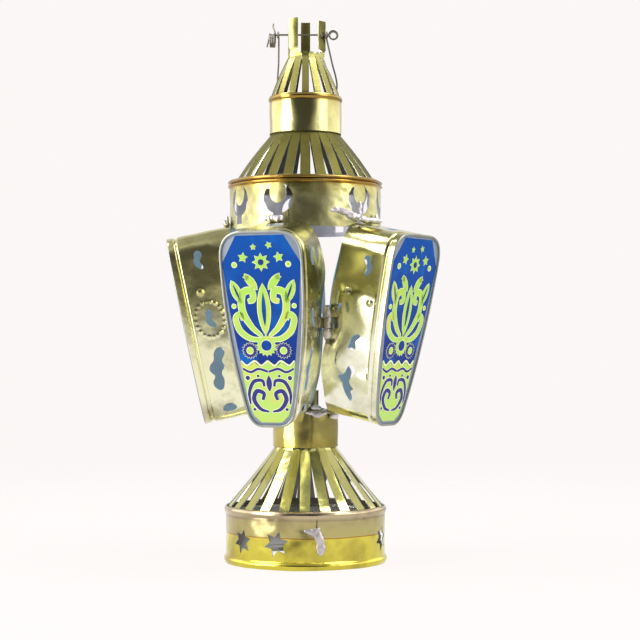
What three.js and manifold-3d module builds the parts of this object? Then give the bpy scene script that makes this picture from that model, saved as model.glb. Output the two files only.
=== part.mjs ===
// Candle lantern of thin brass-lacquered tinplate, in millimetres with +Z up. Five petal-shaped boxes with
// glass fronts stand round a candle, between a slotted base and a slotted top. The origin is on the lantern's
// axis, level with the foot. Azimuths are in degrees from the front, -Y, towards +X.
import * as THREE from "three";
import { mergeVertices } from "three/addons/utils/BufferGeometryUtils.js";
import Module from "manifold-3d";

const wasm = await Module();
wasm.setup();

// Tinplate, clearances and how finely round shapes are divided
const SHEET = 0.5;
const SEAT_GAP = 0.3;
const ROUND_STEPS = 40;
const NECK_STEPS = 32;
const SMALL_STEPS = 12;
const OVERCUT = 6;
const BEAD_FLANK = 0.3;

// Base ring
const BASE_RING_R = 42.5;
const BASE_RING_H = 30;
const FOOT_BEAD_H = 4.3;
const FOOT_BEAD_OUT = 1.2;
const BASE_TOP_BEAD_H = 5;
const BASE_TOP_BEAD_OUT = 0.7;
const STAR_TIP_R = 6.8;
const STAR_INNER_R = 3.6;
const STAR_TURN = 15;
const STAR_Z = 13.5;
const STARS = 12;
const STAR_FIRST_AZIMUTH = -50;
const STARS_LEFT_OUT = [2, 3, 11];

// Base cage
const BASE_FINGERS = 24;
const BASE_FINGER_W = 5.3;
const BASE_CAGE_BAND = 3.2;
const BASE_CAGE_H = 31;
const BASE_CAGE_BOW = 0.4;
const BASE_CAGE_SHOULDER = 0.6;
const SHOULDER_RISE = 0.8;
const CAGE_SLOPE_STEPS = 4;
const WIDEST_FINGER_SHARE = 0.94;

// Lower neck, candle plate and candle socket
const LOWER_NECK_R = 17.4;
const LOWER_NECK_H = 18.7;
const COLLAR_INSERT = 3.2;
const PLATE_R = 19.2;
const SOCKET_BORE_R = 6.5;
const SOCKET_H = 10;
const SOCKET_FLANGE_R = 10;

// Petals
const PETAL_NAMES = ["left", "door", "right", "back_right", "back_left"];
const LEFT_PETAL_AZIMUTH = -90;
const PETAL_PITCH = 360 / PETAL_NAMES.length;
const PETAL_PLATE_GAP = 0.7;
const PETAL_FOOT_BELOW_PLATE = 7;
const PETAL_LEAN = 11.6;
const PETAL_H = 100;
const PETAL_DEPTH = 34;
const PETAL_FOOT_HALF = 13.6;
const PETAL_FOOT_CORNER = 9.5;
const PETAL_HEAD_HALF = 22;
const PETAL_HEAD_CORNER_H = 14;
const PETAL_HEAD_CORNER_W = 12.5;
const PETAL_SIDE_BULGE = 1.2;
const GROOVE_START = 3.2;
const GROOVE_W = 2.8;
const GROOVE_IN = 0.9;
const GROOVE_FLANK = 0.35;
const LIP_W = 1.6;
const GLASS_T = 2;

// Punched openings of the petals, each placed by its depth behind the front edge and its height
const LEFT_WALL_CURL = { depth: 14.2, height: 80.5, size: 5.6, turn: 20 };
const LEFT_WALL_SMALL_CURL = { depth: 27.5, height: 56, size: 3.4, turn: -15 };
const LEFT_WALL_LOW_CURL = { depth: 17, height: 41, size: 5, turn: 170 };
const LEFT_WALL_BIRD = { depth: 18.6, height: 19.5, size: 10 };
const RIGHT_WALL_CURL = { depth: 14.5, height: 85, size: 5.2, turn: 10 };
const RIGHT_WALL_SUN_CURL = { depth: 14.6, height: 53.5, size: 5.2, turn: 0 };
const RIGHT_WALL_ZIGZAG = { depth: 13.4, height: 27.4, size: 11.5 };
const RIGHT_WALL_ARC = { depth: 15, height: 5.4, size: 3.4, turn: 0 };
const TOP_WALL_ARC = { depth: 18, side: 1.5, size: 4.6 };

// Upper ring
const UPPER_RING_R = 40.3;
const UPPER_RING_BELOW_PETAL_TOPS = 2.03;
const UPPER_RING_H = 26.5;
const UPPER_BEAD_H = 2;
const UPPER_BEAD_OUT = 0.9;
const CRESCENT_R = 8;
const CRESCENT_ABOVE_RIM = 14.4;
const LOBE_HALF_W = 4.46;
const LOBE_HALF_H = 5.6;
const LOBE_RISE = 3.2;
const STEM_W = 5;
const STEM_ABOVE_RIM = 2.4;
const STEM_INTO_CRESCENT = 1.4;
const CRESCENT_AZIMUTHS = [-58, -20, 45, 80, 116, 152, 188, 224, 260];

// Upper cage and upper neck
const UPPER_FINGERS = 26;
const UPPER_FINGER_W = 4.9;
const UPPER_CAGE_BAND = 3.2;
const UPPER_CAGE_H = 25;
const UPPER_CAGE_BOW = 0.4;
const UPPER_CAGE_SHOULDER = 3;
const UPPER_NECK_R = 19.3;
const UPPER_NECK_H = 20;
const NECK_BEAD_H = 3;
const NECK_BEAD_OUT = 0.6;

// Top cage with its collar and tabs
const TOP_FINGERS = 16;
const TOP_FINGER_W = 3.4;
const TOP_CAGE_BAND = 2.6;
const TOP_CAGE_H = 21;
const TOP_CAGE_BOW = 0.3;
const TOP_CAGE_SLOPE_STEPS = 3;
const COLLAR_R = 9.3;
const COLLAR_H = 2.2;
const TAB_W = 5.2;
const RIGHT_TAB_H = 17.8;
const BACK_TAB_H = 18.8;
const LEFT_TAB_H = 13.2;
const FRONT_LEFT_TAB_H = 18.4;
const TAB_HEIGHTS = { 4: RIGHT_TAB_H, 8: BACK_TAB_H, 12: LEFT_TAB_H, 14: FRONT_LEFT_TAB_H };

// Wires
const WIRE_R = 0.5;
const CROSS_WIRE_ABOVE_COLLAR = 10.4;
const WIRE_EYE_X = 15.6;
const WIRE_EYE_R = 2.5;
const WIRE_COIL_X = 20;
const WIRE_COIL_R = 3.2;
const WIRE_COIL_TURNS = 3;
const BAIL_EYE_FROM_COIL = 1.8;
const BAIL_EYE_FROM_RING = 1.9;
const BAIL_DROP = 45;
const BAIL_HALF_W = 16;
const BAIL_SHIFT = 1;
const BAIL_EYE_CLEARANCE = 0.4;
const BAIL_REST_GAP = 0.63;

// Door hinge and catch
const HINGE_ABOVE_PETAL_FOOT = 45.1;
const KNUCKLE_H = 5.2;
const KNUCKLE_R = 2.2;
const KNUCKLE_BORE_R = 1;
const PIN_R = 0.7;
const PIN_HEAD_R = 1.5;
const PIN_HEAD_H = 0.8;
const PIN_HEAD_EDGE = 0.5;
const LEAF_L = 7;
const LEAF_WALL_CLEARANCE = 0.35;
const CATCH_L = 11;
const CATCH_R = 1.5;
const CATCH_SIDE = -3;

// Solder
const TOP_SOLDER_L = 20;
const TOP_SOLDER_R = 1.7;
const FOOT_SOLDER_HALF_L = 3.4;
const FOOT_SOLDER_R = 1;
const FOOT_SOLDER_RUN = 1.6;
const FOOT_SOLDER_BELOW_RIM = 2.4;
const SIDE_SOLDER_H = 15;
const SIDE_SOLDER_R = 2.3;
const SIDE_SOLDER_GAP = 0.54;
const SOLDER_LUMPS = [[-1, 0], [-0.9, 0.7], [-0.55, 1], [-0.1, 0.75], [0.35, 0.95], [0.85, 0.6], [1, 0]];
const SIDE_SOLDER_AFTER_PETAL = { right_side_solder: 2, back_side_solder: 3, left_side_solder: 4 };

// Finishes
const BRASS_TIN = { color: 0xb9ac55, roughness: 0.32, metalness: 1 };
const YELLOW_TIN = { color: 0xd8c02a, roughness: 0.28, metalness: 1 };
const DARK_GOLD_TIN = { color: 0xb08f2c, roughness: 0.3, metalness: 1 };
const SOLDER = { color: 0xb4b0a8, roughness: 0.45, metalness: 1 };
const STEEL = { color: 0x6b676b, roughness: 0.4, metalness: 1 };
const BLUE_GLASS = { color: 0x1c3fae, roughness: 0.08, metalness: 0 };

// Radii and heights that follow from the sizes above
const BASE_RING_BORE_R = BASE_RING_R - SHEET * 1.5;
const BASE_CAGE_TOP_Z = BASE_RING_H + BASE_CAGE_H;
const LOWER_NECK_TOP_Z = BASE_CAGE_TOP_Z + SEAT_GAP + LOWER_NECK_H;
const PLATE_Z = LOWER_NECK_TOP_Z + SEAT_GAP;
const LEAN = THREE.MathUtils.degToRad(PETAL_LEAN);
const PETAL_FRONT_R = PLATE_R + PETAL_PLATE_GAP + PETAL_DEPTH * Math.cos(LEAN);
const PETAL_FRONT_Z = PLATE_Z - PETAL_FOOT_BELOW_PLATE;
const HINGE_Z = PETAL_FRONT_Z + HINGE_ABOVE_PETAL_FOOT;
const UPPER_RING_Z = petalTopZ(UPPER_RING_R) - UPPER_RING_BELOW_PETAL_TOPS;
const CRESCENT_Z = UPPER_RING_Z + CRESCENT_ABOVE_RIM;
const STEM_BOTTOM_Z = UPPER_RING_Z + STEM_ABOVE_RIM;
const UPPER_RING_TOP_Z = UPPER_RING_Z + UPPER_RING_H;
const UPPER_CAGE_TOP_Z = UPPER_RING_TOP_Z + UPPER_CAGE_H;
const UPPER_NECK_Z = UPPER_CAGE_TOP_Z + SEAT_GAP;
const UPPER_NECK_TOP_Z = UPPER_NECK_Z + UPPER_NECK_H;
const COLLAR_Z = UPPER_NECK_TOP_Z + TOP_CAGE_H;
const CROSS_WIRE_Z = COLLAR_Z + COLLAR_H + CROSS_WIRE_ABOVE_COLLAR;
const WIRE_COIL_END_X = WIRE_COIL_TURNS * (2 * WIRE_R + SEAT_GAP) - WIRE_COIL_X;
const BAIL_LEFT_X = WIRE_COIL_END_X + BAIL_EYE_FROM_COIL;
const BAIL_RIGHT_X = WIRE_EYE_X - WIRE_EYE_R - BAIL_EYE_FROM_RING;
const BAIL_LEAN = Math.asin((UPPER_NECK_R + WIRE_R + BAIL_REST_GAP) / BAIL_DROP);

const radians = THREE.MathUtils.degToRad;

// A geometry's closed surface as a solid that can be joined and cut
function toSolid(geometry) {
  const bare = geometry.clone();
  bare.deleteAttribute("normal");
  bare.deleteAttribute("uv");
  const merged = mergeVertices(bare, 1e-4);
  const triVerts = new Uint32Array(merged.index.array);
  const vertProperties = merged.attributes.position.array;
  return new wasm.Manifold(new wasm.Mesh({ numProp: 3, vertProperties, triVerts }));
}

function toGeometry(solid) {
  const { vertProperties, triVerts } = solid.getMesh();
  const geometry = new THREE.BufferGeometry();
  geometry.setAttribute("position", new THREE.BufferAttribute(vertProperties, 3));
  geometry.setIndex(new THREE.BufferAttribute(triVerts, 1));
  return geometry;
}

function cut(geometry, cutters) {
  return toGeometry(cutters.reduce((body, cutter) => body.subtract(toSolid(cutter)), toSolid(geometry)));
}

function join(...geometries) {
  return toGeometry(geometries.map(toSolid).reduce((body, piece) => body.add(piece)));
}

function piece(name, geometry, finish) {
  geometry.computeVertexNormals();
  const mesh = new THREE.Mesh(geometry, new THREE.MeshStandardMaterial({ ...finish, flatShading: true }));
  mesh.name = name;
  return mesh;
}

// A round body about Z from a closed profile of [radius, height], outer side first and going up
function turned(profile, steps = ROUND_STEPS) {
  const points = profile.map(([r, z]) => new THREE.Vector2(r, z));
  if (profile[0][0] > 0) points.push(points[0].clone());
  return new THREE.LatheGeometry(points, steps).rotateX(Math.PI / 2);
}

// Turns a shape drawn as seen from the front, x to the side, y up and z outwards, to face an azimuth
function facing(geometry, azimuth) {
  return geometry.rotateX(Math.PI / 2).rotateZ(radians(azimuth));
}

function extruded(shape, depth, curveSegments = SMALL_STEPS) {
  return new THREE.ExtrudeGeometry(shape, { depth, bevelEnabled: false, curveSegments });
}

// The outer profile of a sheet moved inwards by its thickness
function innerProfile(profile) {
  return profile.map(([r, z], i) => {
    const [r0, z0] = profile[Math.max(i - 1, 0)];
    const [r1, z1] = profile[Math.min(i + 1, profile.length - 1)];
    const length = Math.hypot(r1 - r0, z1 - z0);
    return [r - (SHEET * (z1 - z0)) / length, z + (SHEET * (r1 - r0)) / length];
  });
}

// A cage of sheet metal: a band, then fingers with wedge-shaped slots between them, then what joins them.
// Column 2k is finger k and column 2k + 1 the slot after it. Rows go up the outer profile.
function cage({ profile, count, halfAngle, isMetal }) {
  const inner = innerProfile(profile);
  const rows = profile.length;
  const columns = count * 2;
  const positions = [];
  for (const side of [profile, inner]) {
    for (let column = 0; column < columns; column++) {
      const finger = Math.floor(column / 2);
      const sign = column % 2 ? 1 : -1;
      side.forEach(([r, z], row) => {
        const angle = (finger * 2 * Math.PI) / count + sign * halfAngle(finger, row);
        positions.push(r * Math.sin(angle), -r * Math.cos(angle), z);
      });
    }
  }
  const outerAt = (column, row) => ((column + columns) % columns) * rows + row;
  const innerAt = (column, row) => outerAt(column, row) + columns * rows;
  const metal = (column, row) =>
    row >= 0 && row < rows - 1 && isMetal((column + columns) % columns, row);
  const index = [];
  const quad = (a, b, c, d) => index.push(a, b, c, a, c, d);
  for (let c = 0; c < columns; c++) {
    for (let r = 0; r < rows - 1; r++) {
      if (!metal(c, r)) continue;
      quad(outerAt(c, r), outerAt(c + 1, r), outerAt(c + 1, r + 1), outerAt(c, r + 1));
      quad(innerAt(c, r), innerAt(c, r + 1), innerAt(c + 1, r + 1), innerAt(c + 1, r));
      if (!metal(c, r - 1)) quad(outerAt(c, r), innerAt(c, r), innerAt(c + 1, r), outerAt(c + 1, r));
      if (!metal(c, r + 1))
        quad(outerAt(c, r + 1), outerAt(c + 1, r + 1), innerAt(c + 1, r + 1), innerAt(c, r + 1));
      if (!metal(c - 1, r)) quad(outerAt(c, r), outerAt(c, r + 1), innerAt(c, r + 1), innerAt(c, r));
      if (!metal(c + 1, r))
        quad(outerAt(c + 1, r), innerAt(c + 1, r), innerAt(c + 1, r + 1), outerAt(c + 1, r + 1));
    }
  }
  const geometry = new THREE.BufferGeometry();
  geometry.setAttribute("position", new THREE.Float32BufferAttribute(positions, 3));
  return geometry.setIndex(index);
}

// Points of a slightly bowed slope between two heights, the ends included
function slope([r0, z0], [r1, z1], bow, steps) {
  return Array.from({ length: steps + 1 }, (_, i) => {
    const t = i / steps;
    const swell = 4 * bow * t * (1 - t);
    return [r0 + (r1 - r0) * t + swell, z0 + (z1 - z0) * t + swell / 2];
  });
}

// Half the angle of a finger, no wider than leaves a thin slot to its neighbours
function fingerHalfAngle(width, r, count) {
  const widest = (Math.PI / count) * WIDEST_FINGER_SHARE;
  return Math.min(Math.asin(Math.min(width / 2 / r, 1)), widest);
}

// A cage that draws in from a band inside a ring, over a shoulder, to a closed collar inside a neck
function closedCage({ outerR, bottomZ, band, shoulder, topR, topZ, neckZ, bow, count, width }) {
  const slopeStart = [outerR - shoulder, bottomZ + band + SHOULDER_RISE];
  const profile = [
    [outerR, bottomZ],
    [outerR, bottomZ + band],
    ...slope(slopeStart, [topR, topZ], bow, CAGE_SLOPE_STEPS),
    [topR, neckZ + COLLAR_INSERT],
  ];
  return cage({
    profile,
    count,
    halfAngle: (_, row) => fingerHalfAngle(width, profile[row][0], count),
    isMetal: (column, row) => column % 2 === 0 || row < 1 || row > CAGE_SLOPE_STEPS + 1,
  });
}

function starShape() {
  const corners = [];
  for (let i = 0; i < 12; i++) {
    const r = i % 2 ? STAR_INNER_R : STAR_TIP_R;
    const angle = (i * Math.PI) / 6 + radians(STAR_TURN);
    corners.push(new THREE.Vector2(r * Math.sin(angle), r * Math.cos(angle)));
  }
  return new THREE.Shape(corners);
}

function baseRing() {
  const foot = BASE_RING_R + FOOT_BEAD_OUT;
  const head = BASE_RING_R + BASE_TOP_BEAD_OUT;
  const headZ = BASE_RING_H - BASE_TOP_BEAD_H;
  const outer = [
    [foot - FOOT_BEAD_OUT / 2, 0],
    [foot, FOOT_BEAD_H / 3],
    [foot, (FOOT_BEAD_H * 2) / 3],
    [BASE_RING_R, FOOT_BEAD_H],
    [BASE_RING_R, headZ],
    [head, headZ + BASE_TOP_BEAD_H / 3],
    [head, headZ + (BASE_TOP_BEAD_H * 2) / 3],
    [BASE_RING_R - SHEET / 2, BASE_RING_H],
  ];
  const body = turned([...outer, [BASE_RING_BORE_R, BASE_RING_H], [BASE_RING_BORE_R, 0]]);
  const stars = [];
  for (let i = 0; i < STARS; i++) {
    if (STARS_LEFT_OUT.includes(i)) continue;
    const punch = extruded(starShape(), OVERCUT * 2).translate(0, STAR_Z, BASE_RING_R - OVERCUT);
    stars.push(facing(punch, STAR_FIRST_AZIMUTH + (i * 360) / STARS));
  }
  return cut(body, stars);
}

function baseCage() {
  return closedCage({
    outerR: BASE_RING_BORE_R - SEAT_GAP,
    bottomZ: BASE_RING_H - BASE_CAGE_BAND,
    band: BASE_CAGE_BAND,
    shoulder: BASE_CAGE_SHOULDER,
    topR: LOWER_NECK_R - SHEET - SEAT_GAP,
    topZ: BASE_CAGE_TOP_Z,
    neckZ: BASE_CAGE_TOP_Z + SEAT_GAP,
    bow: BASE_CAGE_BOW,
    count: BASE_FINGERS,
    width: BASE_FINGER_W,
  });
}

function tube(outerR, bottomZ, topZ) {
  const bore = outerR - SHEET;
  return turned([[outerR, bottomZ], [outerR, topZ], [bore, topZ], [bore, bottomZ]], NECK_STEPS);
}

function candlePlate() {
  const top = PLATE_Z + SHEET;
  return turned([[0, PLATE_Z], [PLATE_R, PLATE_Z], [PLATE_R, top], [0, top]], NECK_STEPS);
}

function candleSocket() {
  const z = PLATE_Z + SHEET + SEAT_GAP;
  const outer = SOCKET_BORE_R + SHEET;
  return turned(
    [
      [0, z],
      [SOCKET_FLANGE_R, z],
      [SOCKET_FLANGE_R, z + SHEET],
      [outer, z + SHEET],
      [outer, z + SOCKET_H],
      [SOCKET_BORE_R, z + SOCKET_H],
      [SOCKET_BORE_R, z + SHEET],
      [0, z + SHEET],
    ],
    NECK_STEPS / 2,
  );
}

// The petal's outline seen from its front, from the middle of the foot round anticlockwise. Its x is to the
// side and its y runs up the leaning front.
function petalOutline(cornerSteps, sideSteps) {
  const v = (x, y) => new THREE.Vector2(x, y);
  const sideTop = PETAL_H - PETAL_HEAD_CORNER_H;
  const rise = sideTop - PETAL_FOOT_CORNER;
  const taper = (PETAL_HEAD_HALF - PETAL_FOOT_HALF) / rise;
  const foot = new THREE.QuadraticBezierCurve(
    v(PETAL_FOOT_HALF - PETAL_FOOT_CORNER, 0),
    v(PETAL_FOOT_HALF - 2 * taper * PETAL_FOOT_CORNER, 0),
    v(PETAL_FOOT_HALF, PETAL_FOOT_CORNER),
  );
  const side = new THREE.QuadraticBezierCurve(
    v(PETAL_FOOT_HALF, PETAL_FOOT_CORNER),
    v((PETAL_FOOT_HALF + PETAL_HEAD_HALF) / 2 + 2 * PETAL_SIDE_BULGE, PETAL_FOOT_CORNER + rise / 2),
    v(PETAL_HEAD_HALF, sideTop),
  );
  const head = new THREE.QuadraticBezierCurve(
    v(PETAL_HEAD_HALF, sideTop),
    v(PETAL_HEAD_HALF, PETAL_H - SHEET),
    v(PETAL_HEAD_HALF - PETAL_HEAD_CORNER_W, PETAL_H),
  );
  const half = [
    ...foot.getPoints(cornerSteps),
    ...side.getPoints(sideSteps).slice(1),
    ...head.getPoints(cornerSteps).slice(1),
  ];
  return [...half, ...half.map((p) => v(-p.x, p.y)).reverse()];
}

// How far the petal's side wall stands from its middle at a height up the leaning front
function petalHalfWidth(height) {
  const outline = petalOutline(SMALL_STEPS, SMALL_STEPS * 2);
  const above = outline.findIndex((p) => p.y > height);
  const [low, high] = [outline[above - 1], outline[above]];
  return THREE.MathUtils.mapLinear(height, low.y, high.y, low.x, high.x);
}

function offsetOutline(outline, distance) {
  return outline.map((point, i) => {
    const before = outline[(i + outline.length - 1) % outline.length];
    const after = outline[(i + 1) % outline.length];
    const inEdge = point.clone().sub(before).normalize();
    const outEdge = after.clone().sub(point).normalize();
    const normal = new THREE.Vector2(inEdge.y + outEdge.y, -inEdge.x - outEdge.x).normalize();
    const spread = Math.max(normal.dot(new THREE.Vector2(inEdge.y, -inEdge.x)), 0.5);
    return point.clone().addScaledVector(normal, distance / spread);
  });
}

// A closed strip that follows an outline, from a closed section of [offset outwards, depth behind the front]
function stripAlong(outline, section) {
  const positions = [];
  for (const [offset, depth] of section) {
    for (const p of offsetOutline(outline, offset)) positions.push(p.x, p.y, -depth);
  }
  const index = [];
  const around = outline.length;
  for (let s = 0; s < section.length; s++) {
    const next = (s + 1) % section.length;
    for (let i = 0; i < around; i++) {
      const j = (i + 1) % around;
      const [a, b, c, d] = [s * around + i, s * around + j, next * around + j, next * around + i];
      index.push(a, d, c, a, c, b);
    }
  }
  const geometry = new THREE.BufferGeometry();
  geometry.setAttribute("position", new THREE.Float32BufferAttribute(positions, 3));
  return geometry.setIndex(index);
}

// A comma-like curl: a round head that runs into a curved tail
function curlShape({ size, turn }) {
  const points = [];
  const steps = 5;
  for (let i = 0; i <= steps; i++) {
    const angle = radians(-40 + (i * 250) / steps);
    points.push(new THREE.Vector2(0.42 * Math.cos(angle), 0.55 + 0.42 * Math.sin(angle)));
  }
  for (const [x, y] of [[-0.15, -0.1], [-0.55, -0.55], [-0.5, -0.95], [0.1, -0.75], [0.5, -0.15]])
    points.push(new THREE.Vector2(x, y));
  const clockwise = THREE.ShapeUtils.isClockWise(points);
  if (clockwise) points.reverse();
  const spot = new THREE.Vector2();
  return new THREE.Shape(points.map((p) => p.multiplyScalar(size).rotateAround(spot, radians(turn))));
}

// Three round lobes, one above the other, joined by narrow waists
function zigzagShape({ size }) {
  const right = [[0.1, -1], [0.34, -0.8], [0.36, -0.52], [0.16, -0.3], [0.42, -0.05], [0.36, 0.22],
    [0.1, 0.4], [0.08, 0.75], [-0.16, 0.98]];
  const left = [[-0.42, 0.9], [-0.46, 0.62], [-0.2, 0.34], [-0.36, 0.06], [-0.08, -0.2], [-0.2, -0.5],
    [-0.1, -0.9]];
  return new THREE.Shape([...right, ...left].map(([x, y]) => new THREE.Vector2(x, y).multiplyScalar(size)));
}

// A bird-like opening: a leaning body with a wing and a tail
function birdShape({ size }) {
  const points = [[0.22, -1], [0.34, -0.7], [0.16, -0.42], [0.42, -0.3], [0.18, -0.12], [0.12, 0.14],
    [0.4, 0.42], [0.46, 0.78], [0.26, 0.98], [0, 0.78], [-0.1, 0.42], [-0.62, 0.22], [-0.3, 0.02],
    [-0.26, -0.38], [-0.02, -0.78]];
  return new THREE.Shape(points.map(([x, y]) => new THREE.Vector2(x, y).multiplyScalar(size)));
}

function halfOvalShape({ size }) {
  const shape = new THREE.Shape();
  shape.absellipse(0, 0, size * 1.1, size, 0, Math.PI, false, 0);
  shape.lineTo(-size * 0.5, -size * 0.25);
  shape.lineTo(size * 0.5, -size * 0.25);
  return shape;
}

// A punch through one side wall of a petal. The shape's x runs towards the front edge and its y up the wall.
function sidePunch(shape, { depth, height }, side) {
  const reach = PETAL_HEAD_HALF + OVERCUT - PETAL_FOOT_CORNER / 2;
  const punch = extruded(shape, reach, 3);
  if (side > 0) punch.rotateY(-Math.PI / 2).translate(PETAL_FOOT_CORNER / 2 + reach, height, -depth);
  else punch.rotateY(-Math.PI / 2).translate(-PETAL_FOOT_CORNER / 2, height, -depth);
  return punch;
}

function topPunch(shape, { depth, side }) {
  return extruded(shape, OVERCUT * 2, 3).rotateX(-Math.PI / 2).translate(side, PETAL_H - OVERCUT, -depth);
}

// Moves a shape from the lantern's upright frame, x to the side, y up and z outwards, into a petal's own
function intoPetal(geometry) {
  return geometry.translate(0, -PETAL_FRONT_Z, -PETAL_FRONT_R).rotateX(-LEAN);
}

function petalFrame() {
  const section = [
    [0, 0],
    [0, GROOVE_START],
    [-GROOVE_IN, GROOVE_START + GROOVE_W * GROOVE_FLANK],
    [-GROOVE_IN, GROOVE_START + GROOVE_W * (1 - GROOVE_FLANK)],
    [0, GROOVE_START + GROOVE_W],
    [0, PETAL_DEPTH],
    [-SHEET, PETAL_DEPTH],
    [-SHEET, GROOVE_START + GROOVE_W + SHEET / 2],
    [-GROOVE_IN - SHEET, GROOVE_START + GROOVE_W * (1 - GROOVE_FLANK) + SHEET / 2],
    [-GROOVE_IN - SHEET, GROOVE_START + GROOVE_W * GROOVE_FLANK - SHEET / 2],
    [-SHEET, GROOVE_START - SHEET / 2],
    [-SHEET, SHEET],
    [-LIP_W, SHEET],
    [-LIP_W, 0],
  ];
  const strip = stripAlong(petalOutline(4, 4), section);
  const ringH = UPPER_RING_H * 2;
  const ring = new THREE.CylinderGeometry(
    UPPER_RING_R + SEAT_GAP,
    UPPER_RING_R + SEAT_GAP,
    ringH,
    ROUND_STEPS,
  ).translate(0, UPPER_RING_Z - SEAT_GAP * 2 + ringH / 2, 0);
  return cut(strip, [
    intoPetal(ring),
    sidePunch(curlShape(LEFT_WALL_CURL), LEFT_WALL_CURL, -1),
    sidePunch(curlShape(LEFT_WALL_SMALL_CURL), LEFT_WALL_SMALL_CURL, -1),
    sidePunch(curlShape(LEFT_WALL_LOW_CURL), LEFT_WALL_LOW_CURL, -1),
    sidePunch(birdShape(LEFT_WALL_BIRD), LEFT_WALL_BIRD, -1),
    sidePunch(curlShape(RIGHT_WALL_CURL), RIGHT_WALL_CURL, 1),
    sidePunch(curlShape(RIGHT_WALL_SUN_CURL), RIGHT_WALL_SUN_CURL, 1),
    sidePunch(zigzagShape(RIGHT_WALL_ZIGZAG), RIGHT_WALL_ZIGZAG, 1),
    sidePunch(halfOvalShape(RIGHT_WALL_ARC), RIGHT_WALL_ARC, 1),
    topPunch(halfOvalShape(TOP_WALL_ARC), TOP_WALL_ARC),
  ]);
}

// The pane is cut from flat glass with straight edges, so its corners are chamfers
function petalGlass() {
  const outline = offsetOutline(petalOutline(2, 4), -SHEET - SEAT_GAP);
  const front = -SHEET - SEAT_GAP;
  return extruded(new THREE.Shape(outline), GLASS_T).translate(0, 0, front - GLASS_T);
}

function petalGroup(azimuth) {
  const leaning = new THREE.Group();
  leaning.position.set(0, PETAL_FRONT_Z, PETAL_FRONT_R);
  leaning.rotation.x = LEAN;
  const upright = new THREE.Group();
  upright.rotation.x = Math.PI / 2;
  upright.add(leaning);
  const turnedTo = new THREE.Group();
  turnedTo.rotation.z = radians(azimuth);
  turnedTo.add(upright);
  return { outside: turnedTo, inside: leaning };
}

function upperRing() {
  const bead = UPPER_RING_R + UPPER_BEAD_OUT;
  const beadZ = UPPER_RING_TOP_Z - 2 * UPPER_BEAD_H;
  const outer = [
    [UPPER_RING_R, UPPER_RING_Z],
    [UPPER_RING_R, beadZ],
    [bead, beadZ + UPPER_BEAD_H * BEAD_FLANK],
    [bead, beadZ + UPPER_BEAD_H * (1 - BEAD_FLANK)],
    [UPPER_RING_R, beadZ + UPPER_BEAD_H],
    [bead, beadZ + UPPER_BEAD_H * (1 + BEAD_FLANK)],
    [bead, beadZ + UPPER_BEAD_H * (2 - BEAD_FLANK)],
    [UPPER_RING_R, UPPER_RING_TOP_Z],
  ];
  const bore = UPPER_RING_R - SHEET;
  const body = turned([...outer, [bore, UPPER_RING_TOP_Z], [bore, UPPER_RING_Z]]);
  const moon = new THREE.Shape().absarc(0, 0, CRESCENT_R, 0, 2 * Math.PI);
  const lobe = new THREE.Shape().absellipse(0, LOBE_RISE, LOBE_HALF_W, LOBE_HALF_H, 0, 2 * Math.PI);
  const stemH = CRESCENT_Z - CRESCENT_R + STEM_INTO_CRESCENT - STEM_BOTTOM_Z;
  const stem = new THREE.BoxGeometry(STEM_W, stemH, OVERCUT * 2).translate(
    0,
    STEM_BOTTOM_Z - CRESCENT_Z + stemH / 2,
    OVERCUT,
  );
  const punch = toGeometry(
    toSolid(extruded(moon, OVERCUT * 2, 7))
      .subtract(toSolid(extruded(lobe, OVERCUT * 4, 6).translate(0, 0, -OVERCUT)))
      .add(toSolid(stem)),
  );
  const crescents = [];
  for (const azimuth of CRESCENT_AZIMUTHS) {
    const placed = punch.clone().translate(0, CRESCENT_Z, UPPER_RING_R - OVERCUT);
    crescents.push(facing(placed, azimuth));
  }
  return cut(body, crescents);
}

function upperCage() {
  return closedCage({
    outerR: UPPER_RING_R - SHEET - SEAT_GAP,
    bottomZ: UPPER_RING_TOP_Z - UPPER_CAGE_BAND,
    band: UPPER_CAGE_BAND,
    shoulder: UPPER_CAGE_SHOULDER,
    topR: UPPER_NECK_R - SHEET - SEAT_GAP,
    topZ: UPPER_CAGE_TOP_Z,
    neckZ: UPPER_NECK_Z,
    bow: UPPER_CAGE_BOW,
    count: UPPER_FINGERS,
    width: UPPER_FINGER_W,
  });
}

function upperNeck() {
  const bead = UPPER_NECK_R + NECK_BEAD_OUT;
  const beadZ = UPPER_NECK_TOP_Z - NECK_BEAD_H;
  const bore = UPPER_NECK_R - SHEET;
  return turned(
    [
      [UPPER_NECK_R, UPPER_NECK_Z],
      [UPPER_NECK_R, beadZ],
      [bead, beadZ + NECK_BEAD_H * BEAD_FLANK],
      [bead, beadZ + NECK_BEAD_H * (1 - BEAD_FLANK)],
      [UPPER_NECK_R, UPPER_NECK_TOP_Z],
      [bore, UPPER_NECK_TOP_Z],
      [bore, UPPER_NECK_Z],
    ],
    NECK_STEPS,
  );
}

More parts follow.
